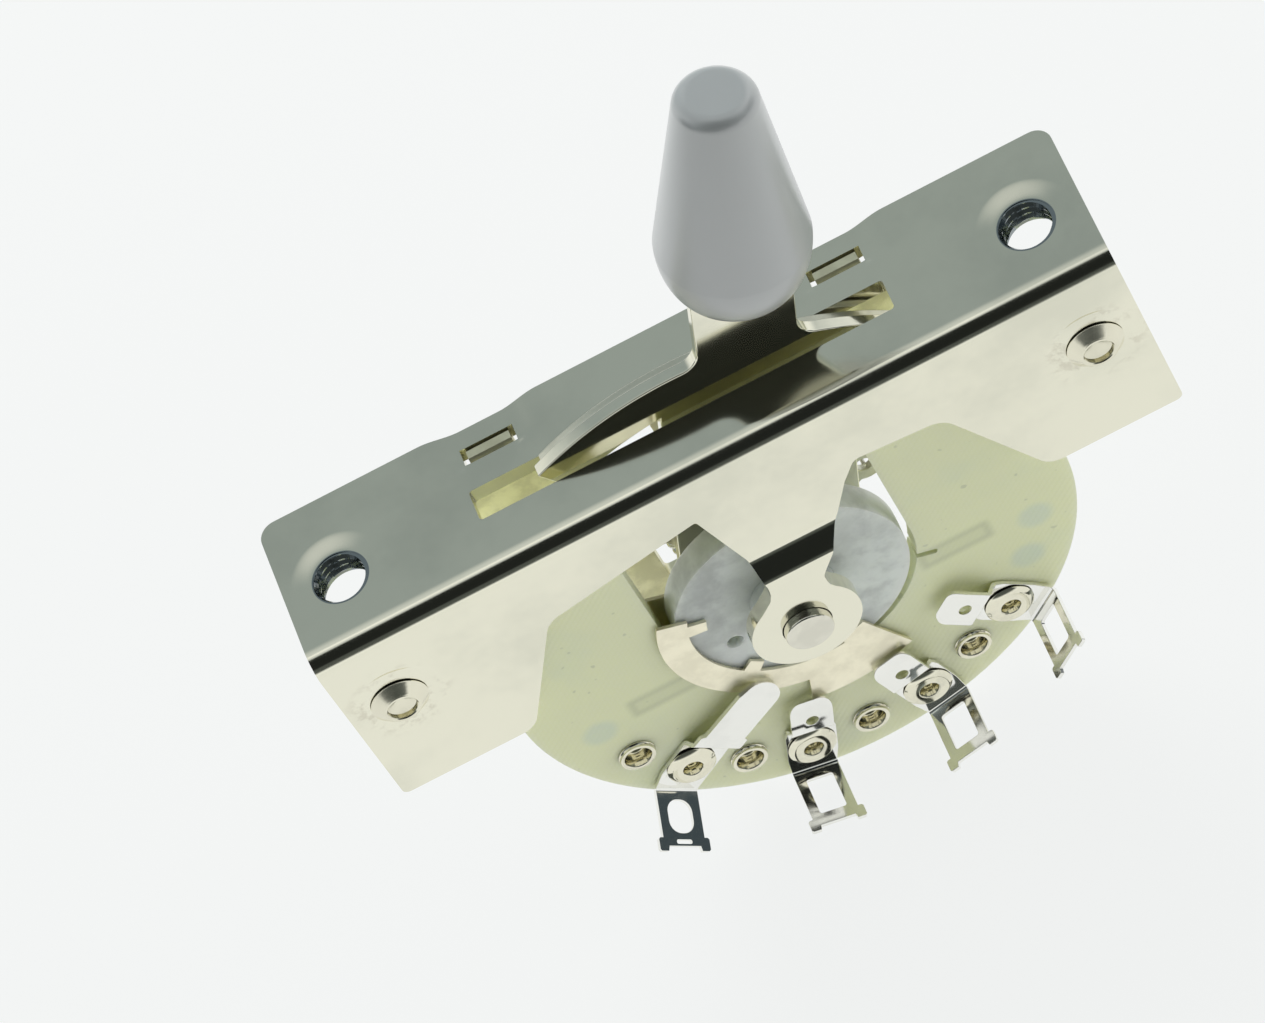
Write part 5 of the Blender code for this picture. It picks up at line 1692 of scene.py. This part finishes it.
class BoardLook(bpy.types.PropertyGroup):
    """Colour and weave of the wafer."""

    colour: bpy.props.FloatVectorProperty(
        name="Laminate",
        description="Pale laminate",
        subtype="COLOR",
        size=3,
        default=(0.9, 0.93, 0.615),
    )
    thread_colour: bpy.props.FloatVectorProperty(
        name="Thread",
        description="Threads in the resin",
        subtype="COLOR",
        size=3,
        default=(0.93, 0.95, 0.72),
    )
    stain: bpy.props.FloatVectorProperty(
        name="Stain",
        description="Faint stains",
        subtype="COLOR",
        size=3,
        default=(0.78, 0.84, 0.66),
    )
    thread: bpy.props.FloatProperty(
        name="Thread pitch", description="Distance between threads", default=0.00024, unit="LENGTH"
    )


class PlasticLook(bpy.types.PropertyGroup):
    """Colours of the rotor and the tip."""

    rotor: bpy.props.FloatVectorProperty(
        name="Rotor",
        description="Milky plastic",
        subtype="COLOR",
        size=3,
        default=(0.82, 0.86, 0.82),
    )
    tip: bpy.props.FloatVectorProperty(
        name="Tip",
        description="White plastic",
        subtype="COLOR",
        size=3,
        default=(0.36, 0.378, 0.375),
    )


class StageLook(bpy.types.PropertyGroup):
    """Floor, world and lamps."""

    floor: bpy.props.FloatVectorProperty(
        name="Floor",
        description="Pale floor",
        subtype="COLOR",
        size=3,
        default=(0.955, 0.97, 0.963),
    )
    sky: bpy.props.FloatVectorProperty(
        name="Sky",
        description="Soft grey overhead",
        subtype="COLOR",
        size=3,
        default=(0.32, 0.37, 0.385),
    )
    sides: bpy.props.FloatVectorProperty(
        name="Sides",
        description="Bright walls left and right",
        subtype="COLOR",
        size=3,
        default=(0.95, 0.97, 0.97),
    )
    front: bpy.props.FloatVectorProperty(
        name="Front",
        description="Dim room above the camera",
        subtype="COLOR",
        size=3,
        default=(0.08, 0.09, 0.086),
    )
    dark: bpy.props.FloatVectorProperty(
        name="Dark",
        description="Dark opening for the camera",
        subtype="COLOR",
        size=3,
        default=(0.015, 0.017, 0.016),
    )
    room: bpy.props.FloatVectorProperty(
        name="Room",
        description="Dark openings on both sides",
        subtype="COLOR",
        size=3,
        default=(0.05, 0.066, 0.074),
    )
    key_power: bpy.props.FloatProperty(
        name="Key lamp", description="Power in watts", default=0.8, min=0.0, unit="POWER"
    )
    floor_drop: bpy.props.FloatProperty(
        name="Floor gap", description="Gap under the lowest lug", default=0.0003, unit="LENGTH"
    )


class SwitchLook(bpy.types.PropertyGroup):
    """All settings of the switch."""

    metal: bpy.props.PointerProperty(type=MetalLook)
    edges: bpy.props.PointerProperty(type=EdgeSizes)
    board: bpy.props.PointerProperty(type=BoardLook)
    plastic: bpy.props.PointerProperty(type=PlasticLook)
    stage: bpy.props.PointerProperty(type=StageLook)


# Light spreads about a millimetre in the rotor's plastic
MILKY = {"subsurface_weight": 1.0, "subsurface_scale": 0.0012, "subsurface_radius": (1.0, 1.0, 0.9)}

# The tip's skin mirrors more of the room than bare plastic does
GLOSS = {"IOR": 1.75, "Specular IOR Level": 1.0, "Coat Weight": 1.0, "Coat Roughness": 0.3}

# Lamps: place, and width of the square in metres
KEY_LAMP = ((-0.04, 0.26, 0.2), 0.25)
FILL_LAMP = ((0.3, 0.03, 0.1), 0.3)
FILL_SHARE = 0.4

# Operators, one for each piece or group of like pieces


class SwitchOperator:
    """What every operator here shares."""

    bl_options = {"REGISTER", "UNDO"}

    def execute(self, context):
        self.build(context.scene.switch_look)
        return {"FINISHED"}


class SWITCH_OT_frame(SwitchOperator, bpy.types.Operator):
    """Folded and pressed frame"""

    bl_idname = "switch.frame"
    bl_label = "Frame"

    def build(self, look):
        metal = look.metal
        tones = (metal.nickel, metal.nickel_dull)
        nickel = plated_metal("bright_nickel", *tones, 0.12, 0.15, 75.0, pressed=True)
        finish_piece(build_frame(look.edges.sheet), nickel, FIXED_BODY, "nickel_plated_steel", "frame")


class SWITCH_OT_rear_plate(SwitchOperator, bpy.types.Operator):
    """Rear plate with its index notches"""

    bl_idname = "switch.rear_plate"
    bl_label = "Rear plate"

    def build(self, look):
        metal = look.metal
        zinc = grained_metal("dull_zinc", metal.zinc, Vector(metal.zinc) * 0.85, 0.42)
        finish_piece(build_rear_plate(look.edges.sheet), zinc, FIXED_BODY, "satin_steel", "rear_plate")


class SWITCH_OT_wafer(SwitchOperator, bpy.types.Operator):
    """Fibre wafer"""

    bl_idname = "switch.wafer"
    bl_label = "Wafer"

    def build(self, look):
        board = look.board
        tones = (board.colour, board.thread_colour, board.stain)
        laminate = laminate_board("pale_laminate", *tones, board.thread)
        finish_piece(build_wafer(look.edges.board), laminate, FIXED_BODY, "laminate", "wafer")


class SWITCH_OT_rotor(SwitchOperator, bpy.types.Operator):
    """Milky rotor and its two contact rings"""

    bl_idname = "switch.rotor"
    bl_label = "Rotor and rings"

    def build(self, look):
        colour = look.plastic.rotor
        shadow = Vector(colour) * 0.62
        milky = moulded_plastic("milky_plastic", colour, shadow, 0.38, 0.000004, clouds=0.8, **MILKY)
        finish_piece(build_rotor(look.edges.plastic), milky, MOVING_BODY, "rotor_plastic", "rotor")
        metal = look.metal
        plate = grained_metal("ring_plate", metal.ring, Vector(metal.ring) * 0.9, 0.3, 7000.0, 0.000006)
        front = build_ring("front_ring", RING_FRONT_BACK - RING_THICK, RING_FRONT_BACK, look.edges.leaf)
        finish_piece(front, plate, MOVING_BODY, "ring_metal", "contact_ring_front")
        rear = build_ring("rear_ring", RING_REAR_FRONT, RING_REAR_FRONT + RING_THICK, look.edges.leaf)
        finish_piece(rear, plate, MOVING_BODY, "ring_metal", "contact_ring_rear")


class SWITCH_OT_contacts(SwitchOperator, bpy.types.Operator):
    """Contact leaves on both faces of the wafer"""

    bl_idname = "switch.contacts"
    bl_label = "Contacts"

    def build(self, look):
        silver = look.metal.silver
        tinned = plated_metal("tinned_leaf", silver, Vector(silver) * 0.94, 0.09, 0.13, 300.0)
        chance = random.Random(7)
        for i in range(CONTACT_COUNT):
            rear = i % 2 == 0
            place = "rear" if rear else "front"
            number = i // 2 + 1
            angle = CONTACT_FIRST_ANGLE + CONTACT_STEP * i
            splay = chance.uniform(-LUG_SPLAY, LUG_SPLAY)
            name = f"leaf_{place}_{number}"
            leaf = build_contact(name, angle, rear, number == 1, look.edges.leaf, splay)
            finish_piece(leaf, tinned, FIXED_BODY, "contact_metal", f"contact_{place}_{number}")


class SWITCH_OT_eyelets(SwitchOperator, bpy.types.Operator):
    """Rolled eyelets that hold the contact leaves"""

    bl_idname = "switch.eyelets"
    bl_label = "Eyelets"

    def build(self, look):
        colour = look.metal.eyelet
        plate = plated_metal("eyelet_plate", colour, Vector(colour) * 0.88, 0.1, 0.14, 500.0)
        for place, first in (("rear", 0), ("front", 1)):
            rivets = build_rivet(f"eyelets_{place}", eyelet_profile(place == "rear"), (0, 0), 40)
            run_tree(
                rivets,
                rivet_circle_tree,
                "rivet_circle",
                count=CONTACT_COUNT // 2,
                radius=CONTACT_CIRCLE * MM,
                first_angle=math.radians(CONTACT_FIRST_ANGLE + CONTACT_STEP * first),
                step=math.radians(2 * CONTACT_STEP),
                centre_z=PIVOT_Z * MM,
                material=plate,
            )
            shade(rivets, 50)
            nodes = [f"contact_rivet_{place}_{k}" for k in range(1, CONTACT_COUNT // 2 + 1)]
            finish_piece(rivets, plate, FIXED_BODY, "rivet_metal", *nodes)


class SWITCH_OT_lever(SwitchOperator, bpy.types.Operator):
    """Lever, the spring plate behind it and the index roller"""

    bl_idname = "switch.lever"
    bl_label = "Lever"

    def build(self, look):
        metal = look.metal
        nickel = plated_metal("lever_nickel", metal.nickel, metal.nickel_dull, 0.1, 0.14)
        finish_piece(build_lever(look.edges.sheet), nickel, MOVING_BODY, "nickel_plated_steel", "lever")
        dull = grained_metal("yoke_plate", metal.nickel_dull, Vector(metal.nickel_dull) * 0.9, 0.3)
        finish_piece(build_yoke(look.edges.sheet), dull, MOVING_BODY, "satin_steel", "spring_yoke")
        steel = grained_metal("roller_steel", metal.steel, Vector(metal.steel) * 0.9, 0.25)
        finish_piece(build_roller(), steel, MOVING_BODY, "turned_steel", "detent_roller")


class SWITCH_OT_springs(SwitchOperator, bpy.types.Operator):
    """The two detent springs"""

    bl_idname = "switch.springs"
    bl_label = "Springs"

    def build(self, look):
        steel = look.metal.steel
        wire = grained_metal("spring_wire", steel, Vector(steel) * 0.8, 0.22)
        for side, place in ((-1, "left"), (1, "right")):
            spring = line_object(f"coil_{place}", spring_line(side))
            run_tree(
                spring,
                wire_tree,
                "wire_along_line",
                wire_radius=SPRING_WIRE * MM,
                sides=10,
                material=wire,
            )
            swing(spring)
            finish_piece(spring, wire, MOVING_BODY, "spring_steel", f"detent_spring_{place}")


class SWITCH_OT_pivot(SwitchOperator, bpy.types.Operator):
    """Pivot shaft and its sleeve"""

    bl_idname = "switch.pivot"
    bl_label = "Pivot"

    def build(self, look):
        colour = look.metal.steel
        steel = grained_metal("shaft_steel", colour, Vector(colour) * 0.92, 0.15)
        shaft = new_object("riveted_shaft", turned(shaft_profile(), 72, (0, PIVOT_Z)))
        shade(shaft, 40)
        finish_piece(shaft, steel, FIXED_BODY, "turned_steel", "pivot_shaft")
        low, high = DRIVE_END + RUN_GAP, REAR_FRONT - SEAT_GAP
        inner = SHAFT_RADIUS + SEAT_GAP
        outer = inner + SPACER_WALL
        sleeve = rounded_outline([(inner, low), (outer, low), (outer, high), (inner, high)], 0.08)
        tube = build_rivet("shaft_sleeve", sleeve, (0, PIVOT_Z), 64)
        finish_piece(tube, steel, FIXED_BODY, "turned_steel", "pivot_spacer")


class SWITCH_OT_wing_rivets(SwitchOperator, bpy.types.Operator):
    """Proud rivets that hold the wafer's ears to the wings"""

    bl_idname = "switch.wing_rivets"
    bl_label = "Wing rivets"

    def build(self, look):
        metal = look.metal
        dull = Vector(metal.eyelet) * 0.92
        plate = grained_metal("rivet_plate", metal.eyelet, dull, 0.16, 2500.0, 0.000004)
        for side, place in ((-1, "left"), (1, "right")):
            centre = (side * WING_RIVET_X, -WING_RIVET_DROP)
            rivet = new_object(f"wing_rivet_{place}", turned(wing_rivet_profile(), 72, centre))
            shade(rivet, 30)
            finish_piece(rivet, plate, FIXED_BODY, "rivet_steel", f"frame_rivet_{place}")


class SWITCH_OT_tip(SwitchOperator, bpy.types.Operator):
    """White push-on tip"""

    bl_idname = "switch.tip"
    bl_label = "Tip"

    def build(self, look):
        colour = look.plastic.tip
        white = moulded_plastic("white_plastic", colour, Vector(colour) * 0.97, 0.36, 0.000003)
        shader = white.node_tree.nodes["Principled BSDF"]
        for socket_name, value in GLOSS.items():
            shader.inputs[socket_name].default_value = value
        finish_piece(build_tip(), white, MOVING_BODY, "tip_plastic", "lever_tip")


class SWITCH_OT_stage(SwitchOperator, bpy.types.Operator):
    """Floor, world, lamps and camera"""

    bl_idname = "switch.stage"
    bl_label = "Stage"

    def build(self, look):
        stage = look.stage
        lay_floor(stage)
        fill_world(stage)
        hang_lamp("key", *KEY_LAMP, stage.key_power)
        hang_lamp("fill", *FILL_LAMP, stage.key_power * FILL_SHARE)
        place_camera()
        bpy.context.scene.view_settings.view_transform = "Standard"


# The floor is lit from below: how much it glows, and how much lamp light and shadow it shows
FLOOR_GLOW = 0.86
FLOOR_SHADE = 0.09
FLOOR_HALF = 3.0

# Where the world's tones change, as parts of a direction: east, north or up
FRONT_EDGE = (-0.2, -0.6)
TOP_EDGE = (0.82, 1.0)
TOP_SHARE = 0.5
LOW_EDGE = (0.22, 0.08)
LOW_NORTH_EDGE = (0.3, 0.0)
SIDE_EDGE = (0.45, 0.8)
SIDE_NORTH_EDGE = (-0.4, 0.0)
STRIP_SHIFT = 0.02
STRIP_EDGE = (0.1, 0.05)

# Dark openings round the camera and on each side, and how near to the way a tone starts and is full
CAMERA_OPENING = (0.875, 0.905)
SIDE_OPENING = (0.92, 0.965)
RIGHT_WAY = (0.968, -0.044, 0.236)
LEFT_WAY = (-0.984, -0.02, 0.17)


def lay_floor(stage):
    """White glowing floor."""
    lowest = CAD_BOX[0].z - stage.floor_drop
    half = FLOOR_HALF
    mesh = bpy.data.meshes.new("floor")
    corners = [(-half, -half, lowest), (half, -half, lowest), (half, half, lowest), (-half, half, lowest)]
    mesh.from_pydata(corners, [], [(0, 1, 2, 3)])
    floor = bpy.data.objects.new("floor", mesh)
    bpy.context.scene.collection.objects.link(floor)
    material = bpy.data.materials.new("pale_floor")
    material.use_nodes = True
    tree = material.node_tree
    tree.nodes.clear()
    matte = tree.nodes.new("ShaderNodeBsdfDiffuse")
    matte.inputs["Color"].default_value = (FLOOR_SHADE, FLOOR_SHADE, FLOOR_SHADE, 1.0)
    glow = tree.nodes.new("ShaderNodeEmission")
    glow.inputs["Color"].default_value = (*stage.floor, 1.0)
    glow.inputs["Strength"].default_value = FLOOR_GLOW
    both = tree.nodes.new("ShaderNodeAddShader")
    tree.links.new(matte.outputs["BSDF"], both.inputs[0])
    tree.links.new(glow.outputs["Emission"], both.inputs[1])
    output = tree.nodes.new("ShaderNodeOutputMaterial")
    tree.links.new(both.outputs["Shader"], output.inputs["Surface"])
    mesh.materials.append(material)


def fill_world(stage):
    """Grey room, dim in front, with bright sides at the back, a bright strip overhead and dark openings.

    The front is bright low down.
    """
    world = bpy.data.worlds.new("studio")
    bpy.context.scene.world = world
    world.use_nodes = True
    tree = world.node_tree
    background = tree.nodes["Background"]
    way = tree.nodes.new("ShaderNodeTexCoord").outputs["Generated"]
    east, north, up = coordinates(tree, way)
    colour = mix_colour(tree, remap(tree, north, *FRONT_EDGE), tuple(stage.sky), tuple(stage.front))
    low = math_node(tree, "MULTIPLY", remap(tree, up, *LOW_EDGE), remap(tree, north, *LOW_NORTH_EDGE))
    beside = remap(tree, math_node(tree, "ABSOLUTE", east), *SIDE_EDGE)
    beside = math_node(tree, "MULTIPLY", beside, remap(tree, north, *SIDE_NORTH_EDGE))
    from_strip = math_node(tree, "ABSOLUTE", math_node(tree, "ADD", north, STRIP_SHIFT))
    top = remap(tree, up, *TOP_EDGE, 0.0, TOP_SHARE)
    for share in (top, low, beside, remap(tree, from_strip, *STRIP_EDGE)):
        colour = mix_colour(tree, share, colour, tuple(stage.sides))
    for place, edge, tone in (
        (CAMERA_BACK, CAMERA_OPENING, stage.dark),
        (RIGHT_WAY, SIDE_OPENING, stage.room),
        (LEFT_WAY, SIDE_OPENING, stage.room),
    ):
        towards = vector_value(tree, "DOT_PRODUCT", way, place)
        colour = mix_colour(tree, remap(tree, towards, *edge), colour, tuple(tone))
    tree.links.new(colour, background.inputs["Color"])
    background.inputs["Strength"].default_value = 1.0


def hang_lamp(name, place, size, power):
    """Soft square lamp aimed at the switch, kept out of reflections."""
    data = bpy.data.lights.new(name, "AREA")
    data.size = size
    data.energy = power
    lamp = bpy.data.objects.new(name, data)
    bpy.context.scene.collection.objects.link(lamp)
    lamp.location = place
    lamp.rotation_mode = "QUATERNION"
    lamp.rotation_quaternion = (-Vector(place)).to_track_quat("-Z", "Y")
    lamp.visible_glossy = False


def place_camera():
    data = bpy.data.cameras.new("camera")
    data.lens = CAMERA_LENS
    data.sensor_width = SENSOR
    data.clip_start = 0.01
    camera = bpy.data.objects.new("camera", data)
    bpy.context.scene.collection.objects.link(camera)
    turn = Matrix((CAMERA_RIGHT, CAMERA_UP, CAMERA_BACK)).transposed()
    camera.matrix_world = Matrix.Translation(CAMERA_PLACE) @ turn.to_4x4()
    bpy.context.scene.camera = camera


OPERATORS = (
    SWITCH_OT_frame,
    SWITCH_OT_rear_plate,
    SWITCH_OT_wafer,
    SWITCH_OT_rotor,
    SWITCH_OT_contacts,
    SWITCH_OT_eyelets,
    SWITCH_OT_lever,
    SWITCH_OT_springs,
    SWITCH_OT_pivot,
    SWITCH_OT_wing_rivets,
    SWITCH_OT_tip,
    SWITCH_OT_stage,
)


class SWITCH_PT_panel(bpy.types.Panel):
    """Buttons for the pieces"""

    bl_label = "Selector switch"
    bl_idname = "SWITCH_PT_panel"
    bl_space_type = "VIEW_3D"
    bl_region_type = "UI"
    bl_category = "Switch"

    def draw(self, context):
        for operator in OPERATORS:
            self.layout.operator(operator.bl_idname)


SETTINGS = (MetalLook, EdgeSizes, BoardLook, PlasticLook, StageLook, SwitchLook)
CLASSES = (*SETTINGS, *OPERATORS, SWITCH_PT_panel)


def register():
    for made in CLASSES:
        bpy.utils.register_class(made)
    bpy.types.Scene.switch_look = bpy.props.PointerProperty(type=SwitchLook)


def unregister():
    del bpy.types.Scene.switch_look
    for made in reversed(CLASSES):
        bpy.utils.unregister_class(made)


def main():
    register()
    for operator in OPERATORS:
        group, name = operator.bl_idname.split(".")
        getattr(getattr(bpy.ops, group), name)()


if __name__ == "__main__":
    main()
